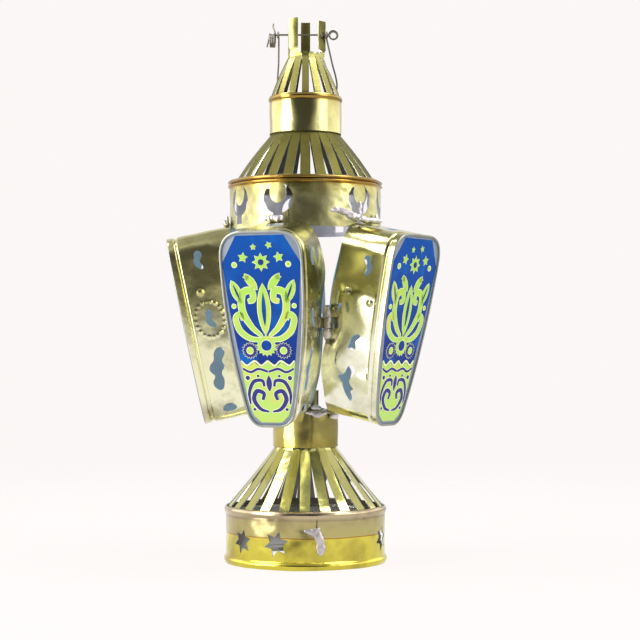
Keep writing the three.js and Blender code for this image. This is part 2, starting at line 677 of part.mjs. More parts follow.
// Most fingers of the top cage end at the collar. A few go on upwards as wider tabs of uneven height.
function topCage() {
  const outerR = UPPER_NECK_R - SHEET - SEAT_GAP;
  const tabFoot = COLLAR_Z + COLLAR_H;
  const tabTops = [...new Set(Object.values(TAB_HEIGHTS))].sort((a, b) => a - b);
  const profile = [
    [outerR, UPPER_NECK_TOP_Z - TOP_CAGE_BAND],
    ...slope([outerR, UPPER_NECK_TOP_Z], [COLLAR_R, COLLAR_Z], TOP_CAGE_BOW, TOP_CAGE_SLOPE_STEPS),
    [COLLAR_R, tabFoot],
    [COLLAR_R, tabFoot + SHEET * 2],
    ...tabTops.map((height) => [COLLAR_R, tabFoot + height]),
  ];
  const collarRow = TOP_CAGE_SLOPE_STEPS + 2;
  const topRow = (finger) => collarRow + 2 + tabTops.indexOf(TAB_HEIGHTS[finger]);
  const body = cage({
    profile,
    count: TOP_FINGERS,
    halfAngle: (_, row) =>
      row > collarRow
        ? Math.asin(TAB_W / 2 / COLLAR_R)
        : fingerHalfAngle(TOP_FINGER_W, profile[row][0], TOP_FINGERS),
    isMetal: (column, row) => {
      if (row < 1) return true;
      if (column % 2) return false;
      if (row < collarRow) return true;
      return column / 2 in TAB_HEIGHTS && row < topRow(column / 2);
    },
  });
  const hole = new THREE.CylinderGeometry(WIRE_R + SEAT_GAP, WIRE_R + SEAT_GAP, COLLAR_R * 4, 8)
    .rotateZ(Math.PI / 2)
    .translate(0, 0, CROSS_WIRE_Z);
  return cut(body, [hole]);
}

// A round wire along a curve
function wire(curve, steps) {
  const section = new THREE.Shape().absarc(0, 0, WIRE_R, 0, 2 * Math.PI);
  const settings = { steps, extrudePath: curve, curveSegments: 4, bevelEnabled: false };
  return new THREE.ExtrudeGeometry(section, settings);
}

class CoilCurve extends THREE.Curve {
  getPoint(t, target = new THREE.Vector3()) {
    const angle = 2 * Math.PI * WIRE_COIL_TURNS * t;
    const x = -WIRE_COIL_X + t * (WIRE_COIL_END_X + WIRE_COIL_X);
    return target.set(x, WIRE_COIL_R * Math.sin(angle), -WIRE_COIL_R * (1 + Math.cos(angle)));
  }
}

// The wire that crosses the tabs: a small coil at its left end and a ring eye at its right end
function crossWire() {
  const eyeLeft = WIRE_EYE_X - WIRE_EYE_R;
  const v = (x, z) => new THREE.Vector3(x, 0, z);
  const coilEnd = WIRE_COIL_END_X;
  const bar = wire(new THREE.LineCurve3(v(coilEnd - WIRE_R, 0), v(eyeLeft, 0)), 1);
  const coil = wire(new CoilCurve(), WIRE_COIL_TURNS * 10);
  const link = wire(new THREE.LineCurve3(v(coilEnd, WIRE_R / 2), v(coilEnd, -2 * WIRE_COIL_R)), 1);
  const eye = new THREE.TorusGeometry(WIRE_EYE_R, WIRE_R, 6, 14)
    .rotateX(Math.PI / 2)
    .translate(WIRE_EYE_X, 0, 0);
  return join(bar, coil, link, eye).translate(0, 0, CROSS_WIRE_Z);
}

// The bail, drawn hanging straight down from the cross wire, then leant back until it rests behind the neck
function bail() {
  const eyeR = WIRE_R * 2 + BAIL_EYE_CLEARANCE;
  const arcTop = -BAIL_DROP + BAIL_HALF_W;
  const left = BAIL_SHIFT - BAIL_HALF_W;
  const right = BAIL_SHIFT + BAIL_HALF_W;
  const v = (x, z) => new THREE.Vector3(x, 0, z);
  const path = new THREE.CatmullRomCurve3([
    v(BAIL_LEFT_X, -eyeR),
    v((BAIL_LEFT_X * 2 + left) / 3, arcTop / 2),
    v(left, arcTop),
    v(BAIL_SHIFT - BAIL_HALF_W * Math.SQRT1_2, arcTop - BAIL_HALF_W * Math.SQRT1_2),
    v(BAIL_SHIFT, -BAIL_DROP),
    v(BAIL_SHIFT + BAIL_HALF_W * Math.SQRT1_2, arcTop - BAIL_HALF_W * Math.SQRT1_2),
    v(right, arcTop),
    v((BAIL_RIGHT_X + right) / 2, arcTop / 2),
    v(BAIL_RIGHT_X, -eyeR),
  ]);
  const eye = (x) =>
    new THREE.TorusGeometry(eyeR, WIRE_R, 6, SMALL_STEPS).rotateY(Math.PI / 2).translate(x, 0, 0);
  return join(wire(path, 28), eye(BAIL_LEFT_X), eye(BAIL_RIGHT_X))
    .rotateX(BAIL_LEAN)
    .translate(0, 0, CROSS_WIRE_Z);
}

const DOOR = PETAL_NAMES.indexOf("door");
const HALF_PITCH = radians(PETAL_PITCH / 2);

function petalAzimuth(index) {
  return LEFT_PETAL_AZIMUTH + index * PETAL_PITCH;
}

// Height up a petal's leaning wall that lies at a level, halfway between its front and back edges
function heightUpPetal(z) {
  return (z - PETAL_FRONT_Z - (PETAL_DEPTH / 2) * Math.sin(LEAN)) / Math.cos(LEAN);
}

// The hinge and the solder between petals stand where neighbouring walls leave room for a solder bar
const SIDE_SOLDER_MIDDLE = heightUpPetal(HINGE_Z + SIDE_SOLDER_H / 2);
const HINGE_R = (petalHalfWidth(SIDE_SOLDER_MIDDLE) + SIDE_SOLDER_R + SIDE_SOLDER_GAP) / Math.sin(HALF_PITCH);
const HINGE_AZIMUTH = radians(petalAzimuth(DOOR + 0.5));

// One leaf of the door hinge: a knuckle round the pin and a strip along a petal's side wall. Side 1 is the
// wall left of the hinge, seen from outside, and -1 the wall right of it.
function hingeLeaf(level, side) {
  const bottom = HINGE_Z + level * (KNUCKLE_H + SEAT_GAP);
  const top = bottom + KNUCKLE_H;
  const backHeight = (top - PETAL_FRONT_Z - PETAL_DEPTH * Math.sin(LEAN)) / Math.cos(LEAN) + LEAF_L / 2;
  const wall = petalHalfWidth(backHeight) + LEAF_WALL_CLEARANCE;
  const axisSide = HINGE_R * Math.sin(HALF_PITCH);
  const axisOut = HINGE_R * Math.cos(HALF_PITCH);
  const inner = axisSide - KNUCKLE_BORE_R - SEAT_GAP;
  const strip = new THREE.Shape([
    new THREE.Vector2(-side * wall, axisOut - KNUCKLE_R / 2),
    new THREE.Vector2(-side * inner, axisOut - KNUCKLE_R / 2),
    new THREE.Vector2(-side * (wall + SHEET), axisOut + LEAF_L),
    new THREE.Vector2(-side * wall, axisOut + LEAF_L),
  ]);
  const azimuth = petalAzimuth(side > 0 ? DOOR : DOOR + 1);
  const leaf = new THREE.ExtrudeGeometry(strip, { depth: KNUCKLE_H, bevelEnabled: false })
    .rotateZ(Math.PI)
    .rotateZ(radians(azimuth))
    .translate(0, 0, bottom);
  const place = (geometry) =>
    geometry
      .rotateX(Math.PI / 2)
      .translate(HINGE_R * Math.sin(HINGE_AZIMUTH), -HINGE_R * Math.cos(HINGE_AZIMUTH), (bottom + top) / 2);
  const knuckle = place(new THREE.CylinderGeometry(KNUCKLE_R, KNUCKLE_R, KNUCKLE_H, SMALL_STEPS));
  const bore = place(new THREE.CylinderGeometry(KNUCKLE_BORE_R, KNUCKLE_BORE_R, KNUCKLE_H * 2, SMALL_STEPS));
  return toGeometry(toSolid(knuckle).add(toSolid(leaf)).subtract(toSolid(bore)));
}

function hingePin() {
  const bottom = HINGE_Z - SEAT_GAP;
  const top = HINGE_Z + 3 * KNUCKLE_H + 3 * SEAT_GAP;
  return turned(
    [
      [0, bottom - PIN_HEAD_H],
      [PIN_HEAD_R, bottom - PIN_HEAD_EDGE],
      [PIN_HEAD_R, bottom],
      [PIN_R, bottom],
      [PIN_R, top],
      [PIN_HEAD_R, top],
      [PIN_HEAD_R, top + PIN_HEAD_EDGE],
      [0, top + PIN_HEAD_H],
    ],
    SMALL_STEPS,
  ).translate(HINGE_R * Math.sin(HINGE_AZIMUTH), -HINGE_R * Math.cos(HINGE_AZIMUTH), 0);
}

// Height of the petal's top wall at a distance from the lantern's axis
function petalTopZ(r) {
  const frontR = PETAL_FRONT_R + PETAL_H * Math.sin(LEAN);
  const frontZ = PETAL_FRONT_Z + PETAL_H * Math.cos(LEAN);
  return frontZ + (frontR - r) * Math.tan(LEAN);
}

// A lumpy bar of solder along x, seen from the front, before it is turned to its place
function solderBar(length, radius, steps = 8) {
  const half = length / 2;
  const profile = SOLDER_LUMPS.map(([along, thick]) => new THREE.Vector2(radius * thick, half * along));
  return new THREE.LatheGeometry(profile, steps).rotateZ(Math.PI / 2);
}

function topSolder(azimuth) {
  const r = UPPER_RING_R + SEAT_GAP + TOP_SOLDER_R;
  const z = petalTopZ(r - TOP_SOLDER_R) + SEAT_GAP + TOP_SOLDER_R;
  return facing(solderBar(TOP_SOLDER_L, TOP_SOLDER_R).translate(0, z, r), azimuth);
}

function footSolder(azimuth) {
  const r = LOWER_NECK_R + SEAT_GAP + FOOT_SOLDER_R;
  const z = LOWER_NECK_TOP_Z - FOOT_SOLDER_BELOW_RIM;
  const bar = solderBar(FOOT_SOLDER_HALF_L * 2, FOOT_SOLDER_R).scale(1, FOOT_SOLDER_RUN, 1);
  return facing(bar.translate(0, z, r), azimuth);
}

function sideSolder(azimuth) {
  const z = HINGE_Z + SIDE_SOLDER_H / 2;
  const upright = solderBar(SIDE_SOLDER_H, SIDE_SOLDER_R, 10).rotateZ(Math.PI / 2);
  return facing(upright.translate(0, z, HINGE_R), azimuth);
}

// The door's catch: a short rolled tin barrel on the upper ring, just above the door's top wall
function doorCatch() {
  const r = UPPER_RING_R + SEAT_GAP + CATCH_R;
  const z = petalTopZ(r - CATCH_R) + SEAT_GAP + CATCH_R;
  const barrel = new THREE.CylinderGeometry(CATCH_R, CATCH_R, CATCH_L, SMALL_STEPS).rotateZ(Math.PI / 2);
  return facing(barrel.translate(CATCH_SIDE, z, r), petalAzimuth(DOOR));
}

const lantern = new THREE.Group();
lantern.add(
  piece("base_ring", baseRing(), YELLOW_TIN),
  piece("base_cage", baseCage(), BRASS_TIN),
  piece("lower_neck", tube(LOWER_NECK_R, BASE_CAGE_TOP_Z + SEAT_GAP, LOWER_NECK_TOP_Z), DARK_GOLD_TIN),
  piece("candle_plate", candlePlate(), BRASS_TIN),
  piece("candle_socket", candleSocket(), BRASS_TIN),
  piece("upper_ring", upperRing(), BRASS_TIN),
  piece("upper_cage", upperCage(), BRASS_TIN),
  piece("upper_neck", upperNeck(), BRASS_TIN),
  piece("top_cage", topCage(), BRASS_TIN),
  piece("cross_wire", crossWire(), STEEL),
  piece("bail", bail(), STEEL),
  piece("door_hinge_leaf", hingeLeaf(1, 1), BRASS_TIN),
  piece("lower_hinge_leaf", hingeLeaf(0, -1), BRASS_TIN),
  piece("upper_hinge_leaf", hingeLeaf(2, -1), BRASS_TIN),
  piece("hinge_pin", hingePin(), STEEL),
  piece("door_catch", doorCatch(), SOLDER),
);

const frameGeometry = petalFrame();
const glassGeometry = petalGlass();
for (const [index, name] of PETAL_NAMES.entries()) {
  const azimuth = petalAzimuth(index);
  const petal = petalGroup(azimuth);
  petal.inside.add(
    piece(`${name}_petal_frame`, frameGeometry.clone(), BRASS_TIN),
    piece(`${name}_petal_glass`, glassGeometry.clone(), BLUE_GLASS),
  );
  lantern.add(petal.outside);
  if (index === DOOR) continue;
  lantern.add(
    piece(`${name}_top_solder`, topSolder(azimuth), SOLDER),
    piece(`${name}_foot_solder`, footSolder(azimuth), SOLDER),
  );
}
for (const [name, petalIndex] of Object.entries(SIDE_SOLDER_AFTER_PETAL)) {
  lantern.add(piece(name, sideSolder(petalAzimuth(petalIndex + 0.5)), SOLDER));
}

export default lantern;
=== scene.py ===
import math
import random

import bmesh
import bpy
from mathutils import Matrix, Vector, noise


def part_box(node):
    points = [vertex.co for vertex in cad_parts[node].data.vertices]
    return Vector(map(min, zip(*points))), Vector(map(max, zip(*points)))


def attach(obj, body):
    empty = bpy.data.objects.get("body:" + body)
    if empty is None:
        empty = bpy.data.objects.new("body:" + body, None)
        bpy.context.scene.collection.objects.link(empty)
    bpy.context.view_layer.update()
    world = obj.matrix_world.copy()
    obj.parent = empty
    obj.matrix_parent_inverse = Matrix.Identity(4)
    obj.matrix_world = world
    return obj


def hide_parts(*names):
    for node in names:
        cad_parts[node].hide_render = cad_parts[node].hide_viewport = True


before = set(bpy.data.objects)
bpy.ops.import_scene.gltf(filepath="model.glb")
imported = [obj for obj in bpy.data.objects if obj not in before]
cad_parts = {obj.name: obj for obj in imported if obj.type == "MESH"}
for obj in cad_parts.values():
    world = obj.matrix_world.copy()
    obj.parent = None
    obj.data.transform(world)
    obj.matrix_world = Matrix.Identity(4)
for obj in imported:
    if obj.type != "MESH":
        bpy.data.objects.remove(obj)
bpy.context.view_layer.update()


# Camera. It stands level in front of the lantern with a long lens, a little to the right of its axis, and
# a small upward shift of the picture takes the place of a tilt.
camera = bpy.data.objects.new("camera", bpy.data.cameras.new("camera"))
camera.data.lens = 90
camera.data.sensor_width = 36
camera.data.shift_y = 0.0547
camera.data.clip_start = 0.01
camera.location = (0.0078, -0.857, 0.110)
camera.rotation_euler = (math.radians(90), 0, 0)
bpy.context.scene.collection.objects.link(camera)
bpy.context.scene.camera = camera
bpy.context.scene.view_settings.view_transform = "Standard"


# Studio. A pale surround that the camera sees evenly. The metal also shows a dark room behind the camera, a
# dimmer ceiling, bright walls at the sides and a dark low wall at the right. Two soft boxes at the sides and
# two above light the lantern, which stands on a pale round floor that fades out at its rim.
BACKGROUND = (0.965, 0.931, 0.923, 1)
ROOM_TOWARDS = Vector((-0.08, -0.94, 0.30)).normalized()
ROOM_NARROWED = (0.66, 1, 1)
DARK_ROOM, CEILING = 0.10, 0.5
LEFT_WALL, RIGHT_WALL, LOW_RIGHT_WALL = 1.3, 0.9, -0.55
FLOOR_R = 0.9
FLOOR_GLOW = 0.92
LIT_HEIGHT = 0.15


def add_node(tree, kind, inputs=None, **settings):
    """A shader node with its settings made and its sockets filled or joined."""
    node = tree.nodes.new(kind)
    for key, value in settings.items():
        setattr(node, key, value)
    for socket, value in (inputs or {}).items():
        if isinstance(value, bpy.types.NodeSocket):
            tree.links.new(value, node.inputs[socket])
        else:
            node.inputs[socket].default_value = value
    return node


def maths(tree, operation, *values):
    """The result of an operation on numbers or sockets."""
    return add_node(tree, "ShaderNodeMath", dict(enumerate(values)), operation=operation).outputs[0]


def ranged(tree, value, low, high, to_low=0.0, to_high=1.0, **settings):
    """A value carried over from one range to another, and held within it."""
    spans = {"Value": value, "From Min": low, "From Max": high, "To Min": to_low, "To Max": to_high}
    return add_node(tree, "ShaderNodeMapRange", spans, **settings).outputs[0]


def fresh_tree(owner):
    owner.use_nodes = True
    owner.node_tree.nodes.clear()
    return owner.node_tree


world = bpy.data.worlds.new("studio")
bpy.context.scene.world = world
tree = fresh_tree(world)
direction = add_node(tree, "ShaderNodeTexCoord").outputs["Generated"]
narrowed = add_node(tree, "ShaderNodeVectorMath", {0: direction, 1: ROOM_NARROWED}, operation="MULTIPLY")
narrowed = add_node(tree, "ShaderNodeVectorMath", {0: narrowed.outputs[0]}, operation="NORMALIZE")
towards_room = add_node(
    tree, "ShaderNodeVectorMath", {0: narrowed.outputs[0], 1: ROOM_TOWARDS}, operation="DOT_PRODUCT"
).outputs["Value"]
room = ranged(tree, towards_room, 0.82, 0.97, 1.0, DARK_ROOM, interpolation_type="SMOOTHSTEP")
parts = add_node(tree, "ShaderNodeSeparateXYZ", {0: direction}).outputs


def between(part, low, high, edge=0.06):
    """One inside a range of a direction's part, with soft ends."""
    rise = ranged(tree, parts[part], low - edge, low + edge)
    fall = ranged(tree, parts[part], high - edge, high + edge, 1.0, 0.0)
    return maths(tree, "MULTIPLY", rise, fall)


strength = maths(tree, "MULTIPLY", room, ranged(tree, parts["Z"], 0.70, 0.90, 1.0, CEILING))
for radiance, sideways, upwards in [
    (LEFT_WALL, between("X", -1.2, -0.73), between("Z", 0.06, 0.55)),
    (RIGHT_WALL, between("X", 0.60, 1.2), between("Z", 0.08, 0.5)),
    (LOW_RIGHT_WALL, between("X", 0.3, 1.2), between("Z", -0.16, 0.02, 0.03)),
]:
    wall = maths(tree, "MULTIPLY", sideways, upwards)
    strength = maths(tree, "MULTIPLY_ADD", wall, radiance, strength)
rays = add_node(tree, "ShaderNodeLightPath").outputs
seen = maths(tree, "ADD", rays["Is Camera Ray"], rays["Is Transmission Ray"])
even = add_node(tree, "ShaderNodeMix", {"Factor": seen, "A": strength, "B": 1.0}, clamp_factor=True)
backdrop = add_node(tree, "ShaderNodeBackground", {"Color": BACKGROUND, "Strength": even.outputs[0]})
add_node(tree, "ShaderNodeOutputWorld", {"Surface": backdrop.outputs[0]})


def rotation(degrees, axis):
    return Matrix.Rotation(math.radians(degrees), 4, axis)


def soft_box(name, azimuth, elevation, distance, width, height, radiance):
    """A soft box that faces the middle of the lantern. Azimuths run from the front towards +X, in degrees."""
    light = bpy.data.lights.new(name, "AREA")
    light.shape = "RECTANGLE"
    light.size = width
    light.size_y = height
    light.energy = radiance * math.pi * width * height
    about = rotation(azimuth, "Z")
    tilt = rotation(90 - elevation, "X")
    away = about @ tilt @ Matrix.Translation((0, 0, distance))
    thing = bpy.data.objects.new(name, light)
    thing.matrix_world = Matrix.Translation((0, 0, LIT_HEIGHT)) @ away
    bpy.context.scene.collection.objects.link(thing)


soft_box("left_soft_box", -63, 6, 1.1, 0.64, 1.2, 5.0)
soft_box("right_soft_box", 62, 26, 1.1, 0.5, 0.8, 1.8)
soft_box("high_left_soft_box", -96, 53, 1.2, 0.44, 0.5, 6.0)
soft_box("high_right_soft_box", 83, 61, 1.2, 0.6, 0.62, 6.0)

bm = bmesh.new()
bmesh.ops.create_circle(bm, cap_ends=True, radius=FLOOR_R, segments=96)
floor_mesh = bpy.data.meshes.new("floor")
bm.to_mesh(floor_mesh)
bm.free()
floor = bpy.data.objects.new("floor", floor_mesh)
bpy.context.scene.collection.objects.link(floor)
paper = bpy.data.materials.new("pale_paper")
tree = fresh_tree(paper)
place = add_node(tree, "ShaderNodeTexCoord").outputs["Object"]
from_axis = add_node(tree, "ShaderNodeVectorMath", {0: place}, operation="LENGTH").outputs["Value"]
fade = ranged(tree, from_axis, FLOOR_R * 0.35, FLOOR_R * 0.95, interpolation_type="SMOOTHSTEP")
lit = add_node(tree, "ShaderNodeBsdfDiffuse", {"Color": BACKGROUND}).outputs[0]
glow = add_node(tree, "ShaderNodeEmission", {"Color": BACKGROUND, "Strength": 1.0}).outputs[0]
clear = add_node(tree, "ShaderNodeBsdfTransparent").outputs[0]
rays = add_node(tree, "ShaderNodeLightPath").outputs
seen = maths(tree, "ADD", rays["Is Camera Ray"], rays["Is Glossy Ray"])
own_glow = maths(tree, "MULTIPLY", seen, FLOOR_GLOW)
surface = add_node(tree, "ShaderNodeMixShader", {0: own_glow, 1: lit, 2: glow}).outputs[0]
faded = add_node(tree, "ShaderNodeMixShader", {0: fade, 1: surface, 2: clear}).outputs[0]
add_node(tree, "ShaderNodeOutputMaterial", {"Surface": faded})
floor_mesh.materials.append(paper)


# Base ring. A strip of yellow-lacquered tinplate, bent round and lapped in front, with a rolled foot, a
# swaged bead at its top and a row of punched six-pointed stars. The heat of the solder has browned its top.
MM = 0.001
SHEET = 0.5
ROW = 1.5
RING_STEPS = 240
FOOT_BEAD_H = 4.3
FOOT_BEAD_OUT = 1.2
RING_BEAD_H = 3.8
RING_BEAD_OUT = 0.7
YELLOW_BAND_TOP = 16.5
RING_SEAM_AZIMUTH = 8.7
RING_LAP = 6.0
STAR_Z = 13.5
STAR_TIP_R = 6.8
STAR_INNER_R = 3.6
STAR_TURN = 15
STAR_AZIMUTHS = [-50 + 30 * i for i in range(12) if i not in (2, 3, 11)]
# A slit along the lap seam, lined with dark tin, is a painted shadow of the lap's lifted edge.
SEAM_SHADOW_SLIT_Z = 19.6
SEAM_SHADOW_SLIT = [(-0.26, 0), (0.3, 0.4), (0.2, 3.0), (0.32, 6.4), (-0.1, 6.6), (-0.3, 3.2)]
BAND_WOBBLE = 0.4
PUNCH_DEPTH = 12


def span(node):
    """A node's lowest and highest corners, in millimetres."""
    low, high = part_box(node)
    return low / MM, high / MM


def smoothstep(value, low, high):
    share = min(max((value - low) / (high - low), 0), 1)
    return share * share * (3 - 2 * share)


def outwards(azimuth):
    """The level direction away from the axis at an azimuth in degrees."""
    return Vector((math.sin(math.radians(azimuth)), -math.cos(math.radians(azimuth)), 0))


def facing(azimuth, r, z):
    """The place of a flat shape, its x to the side, y up and z outwards, that faces an azimuth."""
    turn = rotation(azimuth, "Z") @ rotation(90, "X")
    return Matrix.Translation(Vector((0, 0, z))) @ turn @ Matrix.Translation((0, 0, r))


def vectors(*places):
    return [Vector(place) for place in places]


def run(start, end, pitch=ROW):
    """Points from start up to, but without, end, a pitch apart."""
    start, end = Vector(start), Vector(end)
    steps = max(round((end - start).length / pitch), 1)
    return [start.lerp(end, i / steps) for i in range(steps)]


def straight(r, bottom, top, pitch=ROW):
    """Points up a straight wall, without its top."""
    return run((r, bottom), (r, top), pitch)


def bead(r, bottom, height, out, steps=10):
    """A round swaged bead on a wall, without its top point."""
    points = []
    for i in range(steps):
        swell = out * math.sin(math.pi * i / steps) ** 0.8
        points.append(Vector((r + swell, bottom + height * i / steps)))
    return points


def turned_skin(profile, steps=RING_STEPS, lap=0.0, seam=0.0, step_out=0.0):
    """A profile of radius and height spun about the axis. A lap makes its ends overlap at the seam."""
    bm = bmesh.new()
    start = outwards(seam)
    verts = [bm.verts.new(start * r + Vector((0, 0, z))) for r, z in profile]
    edges = [bm.edges.new(pair) for pair in zip(verts, verts[1:])]
    turn = math.radians(360 + lap)
    bmesh.ops.spin(
        bm, geom=verts + edges, axis=(0, 0, 1), cent=(0, 0, 0), angle=turn, steps=steps, use_merge=lap == 0
    )
    if lap:
        for index, vert in enumerate(bm.verts):
            turned = index // len(profile) / steps * (360 + lap)
            away = Vector((vert.co.x, vert.co.y, 0)).normalized()
            vert.co += away * step_out * smoothstep(turned, 300, 356)
    face_out(bm)
    return bm


def face_out(bm, middle=Vector((0, 0, 0))):
    """Turns every face away from a line along Z through the middle."""
    bmesh.ops.recalc_face_normals(bm, faces=bm.faces)
    lean = 0
    for face in bm.faces:
        away = face.calc_center_median() - middle
        away.z = 0
        lean += face.normal.dot(away)
    if lean < 0:
        bmesh.ops.reverse_faces(bm, faces=bm.faces)


def dented(bm, seed, depth, size, keep=lambda co: 1.0):
    """Pushes a skin in and out along its normals, as hand-bent tin is."""
    bm.normal_update()
    shift = Vector((seed * 13.7, seed * 5.1, seed * 9.3))
    moves = [vert.normal * noise.noise(vert.co / size + shift) * depth * keep(vert.co) for vert in bm.verts]
    for vert, move in zip(bm.verts, moves):
        vert.co += move


def star_outline(points, tip, inner):
    corners = []
    for i in range(points * 2):
        angle = math.pi * i / points
        r = inner if i % 2 else tip
        corners.append(Vector((r * math.sin(angle), r * math.cos(angle), 0)))
    return corners


def add_prism(bm, outline, depth, matrix, material=0):
    """A straight prism on a flat outline, centred on its plane."""
    verts = [bm.verts.new(Vector((x, y, -depth / 2))) for x, y, *_ in outline]
    base = bm.faces.new(verts)
    base.material_index = material
    top = bmesh.ops.extrude_face_region(bm, geom=[base])["geom"]
    raised = [item for item in top if isinstance(item, bmesh.types.BMVert)]
    bmesh.ops.translate(bm, vec=(0, 0, depth), verts=raised)
    bmesh.ops.transform(bm, matrix=matrix, verts=verts + raised)
    sides = {face for vert in verts + raised for face in vert.link_faces}
    for face in sides:
        face.material_index = material
    bmesh.ops.recalc_face_normals(bm, faces=list(sides))


def mesh_of(bm, finishes):
    mesh = bpy.data.meshes.new("work")
    bm.to_mesh(mesh)
    bm.free()
    for finish in finishes:
        mesh.materials.append(finish)
    return mesh


def worked(mesh, *steps):
    """The mesh after a row of modifiers, each given by its type and settings."""
    bench = bpy.data.objects.new("bench", mesh)
    bpy.context.scene.collection.objects.link(bench)
    for kind, settings in steps:
        modifier = bench.modifiers.new(kind, kind)
        for key, value in settings.items():
            setattr(modifier, key, value)
    made = bpy.data.meshes.new_from_object(bench.evaluated_get(bpy.context.evaluated_depsgraph_get()))
    bpy.data.objects.remove(bench)
    return made


def sheet_metal(skin, finishes, punches=None, thickness=SHEET, edge=1):
    """A skin given its thickness inwards, and punched. Its inside has the second finish, and its rims the one
    numbered edge."""
    steps = [("SOLIDIFY", {
        "thickness": thickness, "offset": -1, "material_offset": 1, "material_offset_rim": edge,
    })]
    cutter = None
    if punches:
        cutter = bpy.data.objects.new("cutter", mesh_of(punches, finishes))
        bpy.context.scene.collection.objects.link(cutter)
        steps.append(("BOOLEAN", {"operation": "DIFFERENCE", "solver": "EXACT", "object": cutter}))
    made = worked(mesh_of(skin, finishes), *steps)
    if cutter:
        bpy.data.objects.remove(cutter)
    return made


def piece(name, mesh, body="lantern", stands_for=(), sharp=34):
    """A finished piece, from a mesh made in millimetres."""
    mesh.name = name
    mesh.transform(Matrix.Scale(MM, 4))
    mesh.shade_smooth()
    mesh.set_sharp_from_angle(angle=math.radians(sharp))
    thing = bpy.data.objects.new(name, mesh)
    bpy.context.scene.collection.objects.link(thing)
    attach(thing, body)
    if stands_for:
        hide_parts(*stands_for)
    return thing


def clouded(tree, place, scale, detail, roughness=0.5):
    """Noise with a scale in cells a metre."""
    sockets = {"Vector": place, "Scale": scale, "Detail": detail, "Roughness": roughness}
    return add_node(tree, "ShaderNodeTexNoise", sockets).outputs[0]


def mixed(tree, share, first, second):
    """A colour between two."""
    ends = {"Factor": share, "A": first, "B": second}
    return add_node(tree, "ShaderNodeMix", ends, data_type="RGBA").outputs[2]


def tin(name, bands, stain, stain_share=0.5, rough=(0.17, 0.36), wave=0.5, seed=0.0, metallic=1.0, glow=0.0):
    """Lacquered tinplate. Its colour goes up the piece in bands of height and colour, clouded by stains."""
    material = bpy.data.materials.new(name)
    tree = fresh_tree(material)
    place = add_node(tree, "ShaderNodeTexCoord").outputs["Object"]
    shift = (seed, seed * 0.7, seed * 1.3)
    moved = add_node(tree, "ShaderNodeMapping", {"Vector": place, "Location": shift}).outputs[0]
    clouds = clouded(tree, moved, 48, 5, 0.62)
    specks = clouded(tree, moved, 420, 3)
    ripples = clouded(tree, moved, 95, 2)
    lacquer = (*bands[0][1], 1)
    if len(bands) > 1:
        height = add_node(tree, "ShaderNodeSeparateXYZ", {0: place}).outputs["Z"]
        level = maths(tree, "ADD", height, ranged(tree, ripples, 0, 1, -BAND_WOBBLE * MM, BAND_WOBBLE * MM))
        low, high = bands[0][0] * MM, bands[-1][0] * MM
        ramp = add_node(tree, "ShaderNodeValToRGB", {"Fac": ranged(tree, level, low, high)})
        while len(ramp.color_ramp.elements) < len(bands):
            ramp.color_ramp.elements.new(0.5)
        for element, (z, colour) in zip(ramp.color_ramp.elements, bands):
            element.position = (z * MM - low) / (high - low)
            element.color = (*colour, 1)
        lacquer = ramp.outputs[0]
    colour = mixed(tree, ranged(tree, clouds, 0.48, 0.72, 0, stain_share), lacquer, (*stain, 1))
    bumps = {"Height": ripples, "Strength": wave, "Distance": 0.35 * MM}
    waves = add_node(tree, "ShaderNodeBump", bumps).outputs[0]
    bumps = {"Height": specks, "Normal": waves, "Strength": 0.25, "Distance": 0.02 * MM}
    grain = add_node(tree, "ShaderNodeBump", bumps).outputs[0]
    # A glow makes the tin give off light in the colour of its lowest band: painted light, as no lamp is
    # there.
    surface = add_node(tree, "ShaderNodeBsdfPrincipled", {
        "Base Color": colour, "Metallic": metallic, "Roughness": ranged(tree, clouds, 0.3, 0.75, *rough),
        "Normal": grain, "Emission Color": (*bands[0][1], 1), "Emission Strength": glow,
    })
    add_node(tree, "ShaderNodeOutputMaterial", {"Surface": surface.outputs[0]})
    return material


BARE_TIN = tin("bare_tin", [(0, (0.34, 0.35, 0.33))], (0.16, 0.15, 0.12), seed=3.1)
# Dark tin for the insides of the cages and of the upper neck, and for the walls of the base ring's seam slit,
# where the dark is a painted shadow.
DARK_TIN = tin(
    "dark_tin", [(0, (0.13, 0.12, 0.10))], (0.05, 0.05, 0.04), 0.7, (0.35, 0.6), seed=3.4, metallic=0.7
)
RING_LACQUER = tin(
    "base_ring_lacquer",
    [
        (0, (0.66, 0.57, 0.07)), (YELLOW_BAND_TOP - 0.7, (0.72, 0.64, 0.10)),
        (YELLOW_BAND_TOP - 0.3, (0.40, 0.17, 0.02)), (YELLOW_BAND_TOP + 0.2, (0.50, 0.44, 0.17)),
        (24.6, (0.46, 0.40, 0.19)), (25.2, (0.36, 0.29, 0.16)),
        (27, (0.52, 0.44, 0.27)), (30, (0.50, 0.41, 0.27)),
    ],
    (0.16, 0.11, 0.05), 0.5, (0.10, 0.24), seed=1.0,
)

